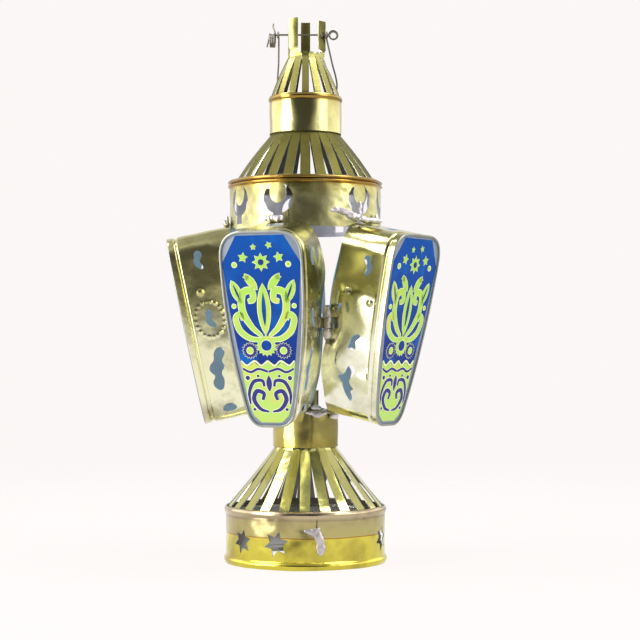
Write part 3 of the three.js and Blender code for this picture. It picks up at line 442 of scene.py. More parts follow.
low, high = span("base_ring")
ring_r = high.x - FOOT_BEAD_OUT
ring_top = high.z
bead_bottom = ring_top - RING_BEAD_H
ring_profile = [Vector((ring_r + FOOT_BEAD_OUT * 0.4, low.z + 0.05))]
ring_profile += bead(ring_r, 0.0, FOOT_BEAD_H, FOOT_BEAD_OUT)[2:]
ring_profile += straight(ring_r, FOOT_BEAD_H, bead_bottom)
ring_profile += bead(ring_r, bead_bottom, RING_BEAD_H, RING_BEAD_OUT)
ring_profile.append(Vector((ring_r - SHEET / 2, ring_top)))
skin = turned_skin(ring_profile, lap=RING_LAP, seam=RING_SEAM_AZIMUTH - RING_LAP, step_out=SHEET + 0.12)
dented(skin, 1, 0.45, 14)
dented(skin, 2, 0.16, 5)
punches = bmesh.new()
for azimuth in STAR_AZIMUTHS:
    turned = facing(azimuth, ring_r, STAR_Z) @ rotation(-STAR_TURN, "Z")
    add_prism(punches, star_outline(6, STAR_TIP_R, STAR_INNER_R), PUNCH_DEPTH, turned, 1)
# The slit along the lap, its walls in the dark tin, is a painted shadow under the lifted edge of the lap.
add_prism(punches, SEAM_SHADOW_SLIT, 1.6, facing(RING_SEAM_AZIMUTH - 0.5, ring_r + 0.72, SEAM_SHADOW_SLIT_Z), 2)
drum = sheet_metal(skin, [RING_LACQUER, BARE_TIN, DARK_TIN], punches)
for vert in drum.vertices:
    vert.co.z = max(vert.co.z, 0)
piece("base_ring_drum", drum, stands_for=["base_ring"])


# Base cage. A strip of tinplate slit into fingers, which bend in from the base ring to the neck and lean and
# twist a little, each its own way. It is tucked into the ring below and into the neck above.
FINGER_COLUMNS = 4
SEAT_GAP = 0.3
FINGER_SHARE = 0.95
SHOULDER_RISE = 0.8
BASE_SHOULDER = 0.6
BASE_FINGERS = 24
BASE_FINGER_W = 5.3
REAR_CLOSED_Z = 41
WIDE_REAR_FINGERS = (12, 13, 14)


def slope(start, end, bow, steps):
    """Points of a slightly bowed slope, without its end."""
    points = []
    for i in range(steps):
        t = i / steps
        swell = 4 * bow * t * (1 - t)
        points.append(Vector(start).lerp(Vector(end), t) + Vector((swell, swell / 2)))
    return points


def cage_skin(profile, fingers, width, slotted, seed, twist=4.0, bow=0.35, sway=0.25, kept=None, wide=None):
    """A ring of fingers with slots in the slotted rows. kept says which finger goes up to a row, and wide how
    wide it is there."""
    across = FINGER_COLUMNS + 1
    columns = fingers * across
    bm = turned_skin(profile, steps=columns)
    chance = random.Random(seed)
    lean = [
        (math.radians(chance.uniform(-twist, twist)), chance.uniform(-bow, bow), chance.uniform(-sway, sway))
        for _ in range(fingers)
    ]
    first, last = slotted
    place = {}
    for vert in bm.verts:
        azimuth = math.atan2(vert.co.x, -vert.co.y)
        row = min(range(len(profile)), key=lambda i: abs(profile[i][1] - vert.co.z))
        place[vert] = (round(azimuth / (2 * math.pi) * columns) % columns, row)
    for vert, (column, row) in place.items():
        finger, step = divmod(column, across)
        r, z = profile[row]
        reach = wide(finger, row) if wide else width
        if row <= last or reach == math.inf:
            reach = min(reach, 2 * r * math.sin(math.pi / fingers) * FINGER_SHARE)
        side = reach / 2 * (2 * step / FINGER_COLUMNS - 1)
        middle = finger * 360 / fingers
        share = min(max((row - first) / (last - first), 0), 1)
        swing = math.sin(math.pi * share)
        turn, out, aside = lean[finger]
        arc = outwards(middle + math.degrees(side / r)) * r
        flat = outwards(middle) * math.sqrt(r * r - reach * reach / 4) + outwards(middle + 90) * side
        here = arc.lerp(flat, smoothstep(swing, 0, 0.3))
        below, above = profile[max(row - 1, 0)], profile[min(row + 1, len(profile) - 1)]
        run_r, run_z = above[0] - below[0], above[1] - below[1]
        length = math.hypot(run_r, run_z)
        normal = outwards(middle) * (run_z / length) + Vector((0, 0, -run_r / length))
        here += normal * swing * (out + side * math.tan(turn)) + outwards(middle + 90) * swing * aside
        vert.co = here + Vector((0, 0, z))
    gone = []
    for face in bm.faces:
        steps = {place[vert][0] % across for vert in face.verts}
        row = min(place[vert][1] for vert in face.verts)
        finger = min(place[vert][0] // across for vert in face.verts)
        in_slot = steps == {0, FINGER_COLUMNS}
        if in_slot and first <= row < last or kept and not kept(finger, row, in_slot):
            gone.append(face)
    bmesh.ops.delete(bm, geom=gone, context="FACES")
    return bm


# The strips' cut edges are bare metal, painted a pale yellow far brighter than the bare tin: a painted glint
# along the edges.
CUT_EDGE_PAINTED_GLINT = tin("cut_edge_painted_glint", [(0, (0.80, 0.79, 0.60))], (0.40, 0.38, 0.22), 0.6, (0.25, 0.45), seed=3.9)
STRIP_LACQUER = tin(
    "strip_lacquer", [(0, (0.56, 0.54, 0.20))], (0.26, 0.23, 0.07), 0.6, (0.08, 0.20), seed=2.0
)

low, high = span("base_cage")
neck_bore = span("lower_neck")[1].x - SHEET - SEAT_GAP
slope_top = span("lower_neck")[0].z - SEAT_GAP
cage_profile = straight(high.x, low.z, ring_top, 1.1)
first_slot = len(cage_profile)
cage_profile.append(Vector((high.x, ring_top)))
slope_start = (high.x - BASE_SHOULDER, ring_top + SHOULDER_RISE)
cage_profile += slope(slope_start, (neck_bore, slope_top), -0.5, 16)
last_slot = len(cage_profile)
cage_profile += straight(neck_bore, slope_top, high.z, 1.2)
cage_profile.append(Vector((neck_bore, high.z)))


def base_width(finger, row):
    """The hidden rear fingers nearly touch above a low window, and three of them do all the way down."""
    closed = finger in WIDE_REAR_FINGERS or cage_profile[row][1] > REAR_CLOSED_Z
    return math.inf if 6 < finger < 18 and closed else BASE_FINGER_W


skin = cage_skin(
    cage_profile, BASE_FINGERS, BASE_FINGER_W, (first_slot, last_slot), seed=11, twist=6, bow=0.5,
    wide=base_width,
)
strips = sheet_metal(skin, [STRIP_LACQUER, DARK_TIN, CUT_EDGE_PAINTED_GLINT], edge=2)
piece("base_cage_strips", strips, stands_for=["base_cage"])


# Lower neck. A short tube of tinplate with a lap seam in front, slipped over the tops of the base fingers
# and soldered to the feet of the petals.
NECK_STEPS = 150
LOWER_NECK_SEAM = -1.5

NECK_LACQUER = tin(
    "neck_lacquer", [(60, (0.50, 0.40, 0.08)), (68, (0.54, 0.47, 0.14)), (82, (0.42, 0.37, 0.14))],
    (0.20, 0.14, 0.04), 0.6, (0.1, 0.26), seed=4.0,
)

low, high = span("lower_neck")
neck_profile = straight(high.x, low.z, high.z) + [Vector((high.x, high.z))]
skin = turned_skin(neck_profile, NECK_STEPS, lap=14, seam=LOWER_NECK_SEAM, step_out=SHEET + 0.1)
dented(skin, 3, 0.35, 9)
piece(
    "lower_neck_tube", sheet_metal(skin, [NECK_LACQUER, BARE_TIN]),
    stands_for=["lower_neck"],
)


# Candle plate and socket. A tin disc with a turned-up rim that rests on the neck, and a spun cup with a
# flange soldered to its middle, which holds the candle.
PLATE_LIP = 0.6
SPUN_SHEET = 0.45
SOCKET_R = 7.0

PLATE_TIN = tin("plate_tin", [(0, (0.40, 0.36, 0.16))], (0.12, 0.10, 0.07), 0.7, (0.25, 0.45), seed=5.0)

low, high = span("candle_plate")
plate_z, lip_r = high.z - 0.02, high.x - PLATE_LIP
plate_profile = vectors((0.01, plate_z), (4, plate_z)) + run((4, plate_z), (lip_r, plate_z), 2)[1:]
plate_profile += vectors((lip_r, plate_z), (high.x - 0.15, high.z - 0.1), (high.x, high.z - 0.3))
skin = turned_skin(plate_profile, 96)
bmesh.ops.remove_doubles(skin, verts=skin.verts, dist=0.05)
if sum(face.normal.z for face in skin.faces) < 0:
    bmesh.ops.reverse_faces(skin, faces=skin.faces)
disc = sheet_metal(skin, [PLATE_TIN, BARE_TIN], thickness=SPUN_SHEET)
piece("candle_plate_disc", disc, stands_for=["candle_plate"])

low, high = span("candle_socket")
flange_z, rim_z = low.z + 0.48, high.z - 0.8
socket_profile = vectors((high.x, flange_z), (SOCKET_R + 0.8, flange_z), (SOCKET_R + 0.2, low.z + 0.6))
socket_profile += straight(SOCKET_R, low.z + 1, rim_z, 2)
socket_profile += vectors((SOCKET_R, rim_z), (SOCKET_R + 0.12, high.z - 0.4), (SOCKET_R, high.z))
cup = sheet_metal(turned_skin(socket_profile, 72), [PLATE_TIN, BARE_TIN], thickness=SPUN_SHEET)
piece("candle_socket_cup", cup, stands_for=["candle_socket"])


# Petal frames. Five tin strips, each bent into a hoop round its pane, with a rolled front lip and a swaged
# groove behind it, an embossed ring of dots and punched openings. They lean outwards and stand on the neck.
PETAL_NAMES = ["left", "door", "right", "back_right", "back_left"]
PETAL_PITCH = 72
PETAL_LEAN = 11.6
PETAL_FRONT_R = 53.2056
PETAL_FRONT_Z = 73.3
PETAL_H = 100
PETAL_DEPTH = 34
FOOT_HALF, FOOT_CORNER = 13.6, 9.5
HEAD_HALF, HEAD_CORNER_H, HEAD_CORNER_W = 22, 14, 12.5
SIDE_BULGE = 2.2
LIP_W = 1.2
LIP_FINISH_DEPTH = 0.45
LIP_SECTION = [(-LIP_W, 0.12), (-0.9, 0.02), (-0.55, 0.0), (-0.26, 0.06), (-0.08, 0.24), (0, 0.5)]
GROOVE_START, GROOVE_W, GROOVE_IN = 3.2, 2.8, 0.9
PETAL_GRID = 0.9
ZIGZAG = [
    (0.1, -1), (0.34, -0.8), (0.36, -0.52), (0.16, -0.3), (0.42, -0.05), (0.36, 0.22), (0.1, 0.4),
    (0.08, 0.75), (-0.16, 0.98), (-0.42, 0.9), (-0.46, 0.62), (-0.2, 0.34), (-0.36, 0.06), (-0.08, -0.2),
    (-0.2, -0.5), (-0.1, -0.9),
]
BIRD = [
    (0.22, -1), (0.34, -0.7), (0.16, -0.42), (0.42, -0.3), (0.18, -0.12), (0.12, 0.14), (0.4, 0.42),
    (0.46, 0.78), (0.26, 0.98), (0, 0.78), (-0.1, 0.42), (-0.62, 0.22), (-0.3, 0.02), (-0.26, -0.38),
    (-0.02, -0.78),
]
CURL_TAIL = [(-0.15, -0.1), (-0.55, -0.55), (-0.5, -0.95), (0.1, -0.75), (0.5, -0.15)]
UPPER_BEAD_OUT = 0.9
RING_CUT_H = 30


def bezier(start, control, end, pitch):
    """Points of a quadratic curve about a pitch apart, without its end."""
    start, control, end = Vector(start), Vector(control), Vector(end)
    steps = max(round(((control - start).length + (end - control).length) * 0.94 / pitch), 1)
    points = []
    for i in range(steps):
        t = i / steps
        points.append(start.lerp(control, t).lerp(control.lerp(end, t), t))
    return points


def mirror_back(points):
    """The points seen in a mirror at x = 0, from last to first."""
    return [Vector((-x, y)) for x, y in reversed(points)]


def petal_outline(pitch, corner_pitch=None):
    """A petal's outline as seen from its front, from the middle of its foot round anticlockwise."""
    corner_pitch = corner_pitch or pitch
    side_top = PETAL_H - HEAD_CORNER_H
    rise = side_top - FOOT_CORNER
    taper = (HEAD_HALF - FOOT_HALF) / rise
    foot_end, side_start = (FOOT_HALF - FOOT_CORNER, 0), (FOOT_HALF, FOOT_CORNER)
    belly = ((FOOT_HALF + HEAD_HALF) / 2 + 2 * SIDE_BULGE, FOOT_CORNER + rise / 2)
    side_end, head_start = (HEAD_HALF, side_top), (HEAD_HALF - HEAD_CORNER_W, PETAL_H)
    half = run((0, 0), foot_end, pitch)
    half += bezier(foot_end, (FOOT_HALF - 2 * taper * FOOT_CORNER, 0), side_start, corner_pitch)
    half += bezier(side_start, belly, side_end, pitch)
    half += bezier(side_end, (HEAD_HALF, PETAL_H - SHEET), head_start, corner_pitch)
    half += run(head_start, (0, PETAL_H), pitch)
    return half + vectors((0, PETAL_H)) + mirror_back(half[1:])


def moved_out(outline, distance):
    """A closed outline moved outwards by a distance."""
    moved = []
    for i, point in enumerate(outline):
        along = (outline[(i + 1) % len(outline)] - outline[i - 1]).normalized()
        moved.append(point + Vector((along.y, -along.x)) * distance)
    return moved


def rounded(outline):
    """A closed outline with its corners cut twice over."""
    for _ in range(2):
        cut = []
        for i, point in enumerate(outline):
            after = outline[(i + 1) % len(outline)]
            cut += [point.lerp(after, 0.25), point.lerp(after, 0.75)]
        outline = cut
    return outline


def curl_outline(size, turn):
    """A comma-like curl: a round head that runs into a curved tail."""
    points = []
    for i in range(9):
        angle = math.radians(-40 + i * 250 / 8)
        points.append(Vector((0.42 * math.cos(angle), 0.55 + 0.42 * math.sin(angle))))
    points += vectors(*CURL_TAIL)
    spin = Matrix.Rotation(math.radians(turn), 2)
    return rounded([spin @ point * size for point in points])


def hand_cut(shape, half_height):
    """A shape drawn two units tall, at its real size and with its corners rounded."""
    return rounded([Vector(point) * half_height for point in shape])


def half_oval_outline(size):
    arc = [Vector((math.cos(math.pi * i / 14) * 1.1, math.sin(math.pi * i / 14))) * size for i in range(15)]
    return arc + [Vector((-0.5, -0.25)) * size, Vector((0.5, -0.25)) * size]


def circle(x, y, r, steps=20):
    points = []
    for i in range(steps):
        angle = 2 * math.pi * i / steps
        points.append(Vector((x + r * math.cos(angle), y + r * math.sin(angle))))
    return points


def in_side_wall(side, depth, height):
    """The place of a flat shape in a petal's left (-1) or right (1) wall, its x towards the front."""
    return Matrix.Translation((side * 15, height, -depth)) @ rotation(-90, "Y")


def petal_matrix(azimuth):
    turn = rotation(azimuth, "Z") @ rotation(90, "X")
    return turn @ Matrix.Translation((0, PETAL_FRONT_Z, PETAL_FRONT_R)) @ rotation(PETAL_LEAN, "X")


def petal_azimuth(index):
    return -90 + PETAL_PITCH * index


# Each ring of dots has its wall's side, its depth and height there, two half sizes and its number of dots.
# Each bump has its side, depth, height, radius and rise.
DOT_RINGS = [(1, 14.6, 53.5, 7.6, 9.4, 20)]
DOT_R, DOT_RISE, DOT_VARIES = 1.15, 0.27, 0.1
BUMPS = [
    (1, 27.0, 63.0, 2.4, 0.55), (1, 12.5, 68.5, 2.4, 0.5), (1, 24.5, 43.0, 2.2, 0.45),
    (-1, 24.0, 66.0, 2.4, 0.5), (-1, 10.5, 62.0, 2.0, 0.45),
]


def embossing(co):
    """How far a petal's wall is pressed out at a place, in millimetres."""
    if abs(co.x) < FOOT_HALF - 2 or not FOOT_CORNER < co.y < PETAL_H - 8:
        return 0
    depth, height, side = -co.z, co.y, 1 if co.x > 0 else -1
    press = 0
    for wall, at_depth, at_height, half_deep, half_tall, dots in DOT_RINGS:
        if wall != side or abs(height - at_height) > half_tall + 3 or abs(depth - at_depth) > half_deep + 3:
            continue
        for i in range(dots):
            angle = 2 * math.pi * i / dots
            dot_depth = at_depth + half_deep * math.cos(angle)
            dot_height = at_height + half_tall * math.sin(angle)
            away = math.hypot(depth - dot_depth, height - dot_height)
            rise = DOT_RISE + DOT_VARIES * math.sin(i * 2.3)
            press = max(press, rise * (1 - smoothstep(away, 0.2, DOT_R)))
    for wall, at_depth, at_height, r, rise in BUMPS:
        if wall == side:
            away = math.hypot(depth - at_depth, height - at_height)
            press = max(press, rise * (1 - smoothstep(away, r * 0.3, r)))
    return press


# The insides of the hoops and the walls of their openings are tin, painted a pale blue-grey and given a glow:
# painted light of the blue panes shining in.
INSIDE_TIN_PAINTED_PANE_LIGHT = tin(
    "inside_tin_painted_pane_light", [(0, (0.42, 0.56, 0.64))], (0.26, 0.36, 0.42), 0.6, (0.35, 0.55), seed=3.7,
    metallic=0.1, glow=0.2,
)
LIP_TIN = tin("petal_lip", [(0, (0.36, 0.38, 0.34))], (0.16, 0.15, 0.10), 0.7, (0.32, 0.5), 0.7, seed=6.4)
# The petals' lacquer. Its pale lower half is a painted reflection of the bright floor; above it is olive.
PETAL_LACQUER_PAINTED_FLOOR_REFLECTION = tin(
    "petal_lacquer_painted_floor_reflection",
    [
        (70, (0.90, 0.90, 0.66)), (116, (0.86, 0.85, 0.56)),
        (142, (0.60, 0.58, 0.27)), (180, (0.56, 0.54, 0.26)),
    ],
    (0.20, 0.16, 0.05), 0.8, (0.13, 0.34), 1.0, seed=6.0,
)
# A smoother copy of the petal lacquer for the right petal. It is whiter over its lower half, a painted
# highlight of the left soft box, and darker above.
CALM_LACQUER_PAINTED_HIGHLIGHT = tin(
    "calm_petal_lacquer_painted_highlight",
    [
        (70, (0.92, 0.93, 0.78)), (116, (0.90, 0.91, 0.72)),
        (142, (0.50, 0.49, 0.25)), (180, (0.44, 0.43, 0.20)),
    ],
    (0.36, 0.32, 0.14), 0.5, (0.10, 0.24), 0.3, seed=6.8,
)

outline = petal_outline(PETAL_GRID)
back = (0, PETAL_DEPTH - 0.02)
section = LIP_SECTION + run(LIP_SECTION[-1], (0, GROOVE_START), 0.9)[1:]
section += bead(0, GROOVE_START, GROOVE_W, -GROOVE_IN, 8)
section += run((0, GROOVE_START + GROOVE_W), back, PETAL_GRID) + [back]
skin = bmesh.new()
row = [skin.verts.new((p.x, p.y, -section[0][1])) for p in moved_out(outline, section[0][0])]
for i in range(len(row)):
    skin.edges.new((row[i - 1], row[i]))
for offset, depth in section[1:]:
    loop = [skin.edges.get((row[i - 1], row[i])) for i in range(len(row))]
    made = bmesh.ops.extrude_edge_only(skin, edges=loop)["geom"]
    fresh = {item for item in made if isinstance(item, bmesh.types.BMVert)}
    row = [next(e.other_vert(v) for e in v.link_edges if e.other_vert(v) in fresh) for v in row]
    for vert, point in zip(row, moved_out(outline, offset)):
        vert.co = (point.x, point.y, -depth)
face_out(skin, middle=Vector((0, PETAL_H / 2, 0)))
near = [face for face in skin.faces if any(embossing(vert.co) > 0.01 for vert in face.verts)]
edges = list(dict.fromkeys(edge for face in near for edge in face.edges))
bmesh.ops.subdivide_edges(skin, edges=edges, cuts=1, use_grid_fill=True)
for vert in skin.verts:
    press = embossing(vert.co)
    if press:
        vert.co.x += press if vert.co.x > 0 else -press

punches = bmesh.new()
for side, opening, depth, height in [
    (-1, curl_outline(5.6, 20), 14.2, 80.5), (-1, curl_outline(3.4, -15), 27.5, 56),
    (-1, curl_outline(5, 170), 17, 41), (-1, hand_cut(BIRD, 10), 18.6, 19.5),
    (1, curl_outline(5.2, 10), 14.5, 85), (1, curl_outline(5.2, 0), 14.6, 53.5),
    (1, hand_cut(ZIGZAG, 11.5), 13.4, 27.4), (1, half_oval_outline(3.4), 15, 5.4),
]:
    add_prism(punches, opening, 2 * PUNCH_DEPTH, in_side_wall(side, depth, height), 1)
top_wall = Matrix.Translation((1.5, PETAL_H, -18)) @ rotation(-90, "X")
add_prism(punches, half_oval_outline(4.6), PUNCH_DEPTH, top_wall, 1)
upper_low, upper_high = span("upper_ring")
upper_ring_r = upper_high.x - UPPER_BEAD_OUT
lift = Matrix.Translation((0, 0, upper_low.z - 2 * SEAT_GAP + RING_CUT_H / 2))
upright = petal_matrix(0).inverted() @ lift
add_prism(punches, circle(0, 0, upper_ring_r + SEAT_GAP, 180), RING_CUT_H, upright, 1)
hoop = sheet_metal(skin, [PETAL_LACQUER_PAINTED_FLOOR_REFLECTION, INSIDE_TIN_PAINTED_PANE_LIGHT, LIP_TIN], punches)
for face in hoop.polygons:
    if face.center.z > -LIP_FINISH_DEPTH:
        face.material_index = 2

# Each push of a hand has its wall's side, its height, its reach and how far out it goes.
PUSHES = {
    "left": [(1, 45, 16, 0.8)],
    "door": [(1, 78, 10, 0.9), (1, 54, 11, -1.7), (-1, 36, 14, 1.2)],
    "right": [(-1, 26, 13, 3.4), (-1, 47, 9, -1.7), (-1, 76, 11, -0.9), (1, 60, 16, 1.2)],
    "back_right": [(-1, 40, 14, 0.8), (1, 66, 12, 0.7)],
    "back_left": [(-1, 62, 14, 0.6), (1, 38, 12, 0.9)],
}
HEAD_DRAWN_IN, FOOT_DRAWN_IN = 0.11, 0.14
WIDE_DENTS, WIDE_DENT_SIZE = 1.1, 24
SMALL_DENTS, SMALL_DENT_SIZE = 0.3, 9
TURNED_WALL_DENTS = 0.3


def wall_turn(depth, height):
    """How far the right petal's left wall is turned out between its groove and the middle of its depth."""
    tall = smoothstep(height, 22, 29) * (1 - smoothstep(height, 64, 70))
    out = 3.8 * smoothstep(depth, 2, 30) - 1.8 * smoothstep(depth, 6, 8)
    return tall * out * (1 - smoothstep(depth, 24, 33))


def bent(co, index):
    """Where a point of a petal goes as its hoop is bent by hand: rounder at its back, and dented."""
    depth, height = -co.z, co.y
    back = smoothstep(depth, 5, 32)
    draw_in = HEAD_DRAWN_IN * smoothstep(height, 68, 100) + FOOT_DRAWN_IN * (1 - smoothstep(height, 0, 24))
    x = co.x * (1 - draw_in * back)
    if FOOT_CORNER / 2 < height < PETAL_H - 3:
        for side, middle, reach, amount in PUSHES[PETAL_NAMES[index]]:
            if side * co.x > 0:
                x += side * amount * back * math.exp(-(((height - middle) / reach) ** 2))
    away = Vector((co.x / HEAD_HALF, (2 * height / PETAL_H - 1) ** 3, 0)).normalized()
    spot = co + Vector((index * 71.0, index * 33.0, 0))
    push = noise.noise(spot / WIDE_DENT_SIZE) * WIDE_DENTS + noise.noise(spot / SMALL_DENT_SIZE) * SMALL_DENTS
    if PETAL_NAMES[index] == "right" and co.x < -FOOT_HALF + 1:
        x -= wall_turn(depth, height)
        push *= TURNED_WALL_DENTS
    push *= smoothstep(depth, 5, 14) * (1 - 0.8 * smoothstep(depth, 26, 34))
    return Vector((x, co.y, co.z)) + away * push


for index, name in enumerate(PETAL_NAMES):
    bm = bmesh.new()
    bm.from_mesh(hoop)
    for vert in bm.verts:
        vert.co = bent(vert.co, index)
    bmesh.ops.transform(bm, matrix=petal_matrix(petal_azimuth(index)), verts=bm.verts)
    # The right petal takes the copy with the painted highlight.
    lacquer = CALM_LACQUER_PAINTED_HIGHLIGHT if name == "right" else PETAL_LACQUER_PAINTED_FLOOR_REFLECTION
    piece(
        f"{name}_petal_hoop", mesh_of(bm, [lacquer, INSIDE_TIN_PAINTED_PANE_LIGHT, LIP_TIN]),
        "door" if name == "door" else "lantern", stands_for=[f"{name}_petal_frame"],
    )


# Upper ring. A drum of tinplate round the tops of the petals, with two copper-coloured beads at its top and
# punched crescents, each with a stem. The metal between a crescent's horns is left as a tongue.
UPPER_BEAD_H = 2.0
UPPER_SEAM = -17
CRESCENT_R, LOBE_HALF_W, LOBE_HALF_H, LOBE_RISE = 8.0, 4.46, 5.6, 3.2
CRESCENT_ABOVE_RIM, STEM_ABOVE_RIM, STEM_W = 14.4, 2.4, 5.0
HORN_ANGLE, LOBE_ANGLE = 68.8, 49.5
CRESCENT_AZIMUTHS = [-58, -20, 45, 80, 116, 152, 188, 224, 260]


def crescent_outline():
    """A crescent open at the top, with a stem below, drawn clockwise from its right horn."""
    stem_half = math.degrees(math.asin(STEM_W / 2 / CRESCENT_R))
    points = []
    for i in range(25):
        angle = math.radians(HORN_ANGLE - (HORN_ANGLE + 90 - stem_half) * i / 24)
        points.append(Vector((math.cos(angle), math.sin(angle))) * CRESCENT_R)
    stem_foot = STEM_ABOVE_RIM - CRESCENT_ABOVE_RIM
    points.append(Vector((STEM_W / 2, stem_foot)))
    points += mirror_back(points)
    for i in range(1, 24):
        angle = math.radians(180 - LOBE_ANGLE + (180 + 2 * LOBE_ANGLE) * i / 24)
        points.append(Vector((LOBE_HALF_W * math.cos(angle), LOBE_RISE + LOBE_HALF_H * math.sin(angle))))
    return points


UPPER_LACQUER = tin(
    "upper_ring_lacquer",
    [
        (175, (0.52, 0.51, 0.24)), (190, (0.56, 0.55, 0.27)), (197.4, (0.46, 0.42, 0.14)),
        (198.6, (0.36, 0.22, 0.04)), (200.4, (0.27, 0.16, 0.03)), (203, (0.38, 0.27, 0.08)),
    ],
    (0.22, 0.18, 0.07), 0.8, (0.12, 0.34), 1.0, seed=7.0,
)
# The inside of the upper ring, seen through the crescents, is grey-lilac, with a faint glow that is painted
# light.
RING_INSIDE_PAINTED_GLOW = tin(
    "ring_inside_painted_glow", [(0, (0.52, 0.52, 0.58))], (0.34, 0.34, 0.40), 0.6, (0.25, 0.4), seed=7.7,
    metallic=0.45, glow=0.1,
)

rim, top = upper_low.z, upper_high.z
upper_profile = straight(upper_ring_r, rim, top - 2 * UPPER_BEAD_H)
upper_profile += bead(upper_ring_r, top - 2 * UPPER_BEAD_H, UPPER_BEAD_H, UPPER_BEAD_OUT, 8)
upper_profile += bead(upper_ring_r, top - UPPER_BEAD_H, UPPER_BEAD_H, UPPER_BEAD_OUT, 8)
upper_profile.append(Vector((upper_ring_r, top)))
skin = turned_skin(upper_profile, lap=5, seam=UPPER_SEAM, step_out=SHEET + 0.1)
dented(skin, 4, 0.5, 13)
dented(skin, 5, 0.2, 5, keep=lambda co: 1 - smoothstep(co.z, 196, 199))
punches = bmesh.new()
for azimuth in CRESCENT_AZIMUTHS:
    place = facing(azimuth, upper_ring_r, rim + CRESCENT_ABOVE_RIM)
    add_prism(punches, crescent_outline(), PUNCH_DEPTH, place, 1)
drum = sheet_metal(skin, [UPPER_LACQUER, RING_INSIDE_PAINTED_GLOW], punches, edge=0)
piece("upper_ring_drum", drum, stands_for=["upper_ring"])


# Upper cage and upper neck. Fingers like those of the base bend in from the upper ring to a short tube, whose
# swaged bead has turned copper at its top.
NECK_BEAD_H, NECK_BEAD_OUT = 3.0, 0.6
UPPER_SHOULDER = 3.0
UPPER_FINGERS = 26
UPPER_FINGER_W = 4.9
UPPER_NECK_SEAM = 150

# The upper strips are the same lacquered tin as the base strips, painted nearly four times darker: painted
# shade.
UPPER_STRIP_PAINTED_SHADE = tin(
    "upper_strip_lacquer_painted_shade", [(200, (0.15, 0.14, 0.035)), (231, (0.13, 0.12, 0.03))], (0.08, 0.065, 0.02), 0.6,
    (0.52, 0.64), seed=2.6,
)
UPPER_NECK_LACQUER = tin(
    "upper_neck_lacquer",
    [
        (227, (0.54, 0.52, 0.24)), (243.8, (0.54, 0.51, 0.22)),
        (244.8, (0.34, 0.21, 0.04)), (248, (0.42, 0.30, 0.09)),
    ],
    (0.22, 0.17, 0.05), 0.5, (0.08, 0.2), seed=8.0,
)

low, high = span("upper_cage")
upper_neck_low, upper_neck_high = span("upper_neck")
upper_neck_r = upper_neck_high.x - NECK_BEAD_OUT
neck_bore = upper_neck_r - SHEET - SEAT_GAP
slope_top = upper_neck_low.z - SEAT_GAP
cage_profile = straight(high.x, low.z, top, 1.1)
first_slot = len(cage_profile)
slope_start = (high.x - UPPER_SHOULDER, top + SHOULDER_RISE)
cage_profile += run((high.x, top), slope_start, 1.1)
cage_profile += slope(slope_start, (neck_bore, slope_top), 0.4, 14)
last_slot = len(cage_profile)
cage_profile += straight(neck_bore, slope_top, high.z, 1.2) + [Vector((neck_bore, high.z))]
skin = cage_skin(cage_profile, UPPER_FINGERS, UPPER_FINGER_W, (first_slot, last_slot), seed=12)
strips = sheet_metal(skin, [UPPER_STRIP_PAINTED_SHADE, DARK_TIN, CUT_EDGE_PAINTED_GLINT], edge=2)
piece("upper_cage_strips", strips, stands_for=["upper_cage"])

neck_top = upper_neck_high.z
bead_bottom = neck_top - NECK_BEAD_H
neck_profile = straight(upper_neck_r, upper_neck_low.z, bead_bottom)
neck_profile += bead(upper_neck_r, bead_bottom, NECK_BEAD_H, NECK_BEAD_OUT, 8)
neck_profile.append(Vector((upper_neck_r, neck_top)))
skin = turned_skin(neck_profile, NECK_STEPS, lap=12, seam=UPPER_NECK_SEAM, step_out=SHEET + 0.05)
dented(skin, 6, 0.3, 10)
piece("upper_neck_tube", sheet_metal(skin, [UPPER_NECK_LACQUER, DARK_TIN]), stands_for=["upper_neck"])


# Top cage. Narrow fingers draw in from the upper neck and end upright and close together, with rounded tips.
# Four of them are left long as tabs of uneven height, two of which are twisted, and carry the cross wire.
TOP_FINGERS = 16
TOP_FINGER_W = 3.4
TIP_SHARE = 0.6
TAB_W = 5.2
TABS = {4: 17.8, 8: 18.8, 12: 13.2, 14: 18.4}
TAB_TWISTS = [(90, 46), (315, -24)]
UPRIGHT_R, UPRIGHT_H = 9.3, 2.2
CROSS_WIRE_ABOVE_TIPS = 10.4
WIRE_R = 0.5

TOP_STRIP_LACQUER = tin(
    "top_strip_lacquer", [(247, (0.32, 0.30, 0.08)), (272, (0.44, 0.42, 0.14))], (0.20, 0.17, 0.05), 0.6,
    (0.24, 0.40), seed=2.8,
)
TAB_INSIDE = tin("tab_inside", [(0, (0.30, 0.27, 0.09))], (0.10, 0.09, 0.03), 0.6, (0.25, 0.4), seed=10.0)
# Near black for the outside of the right tab: painted shade.
TAB_PAINTED_SHADE = tin("tab_painted_shade", [(0, (0.12, 0.11, 0.03))], (0.06, 0.05, 0.02), 0.6, (0.25, 0.4), seed=10.6)

low, high = span("top_cage")
tab_foot = high.z - max(TABS.values())
upright_z = tab_foot - UPRIGHT_H
cross_wire_z = tab_foot + CROSS_WIRE_ABOVE_TIPS
cage_profile = straight(neck_bore, low.z, neck_top, 1.2)
first_slot = len(cage_profile)
cage_profile += slope((neck_bore, neck_top), (UPRIGHT_R, upright_z), 0.3, 12)
cage_profile += straight(UPRIGHT_R, upright_z, tab_foot, 1.1)
tab_row = len(cage_profile)
levels = sorted({0.0, 1.0, *TABS.values()})
for below, above in zip(levels, levels[1:]):
    cage_profile += straight(UPRIGHT_R, tab_foot + below, tab_foot + above, 1.3)
cage_profile.append(Vector((UPRIGHT_R, tab_foot + levels[-1])))


def tab_kept(finger, row, in_slot):
    """All of the cage up to the tips of the fingers, and above them the tabs up to their own heights."""
    if row < tab_row:
        return True
    return not in_slot and finger in TABS and cage_profile[row][1] < tab_foot + TABS[finger] - 0.1


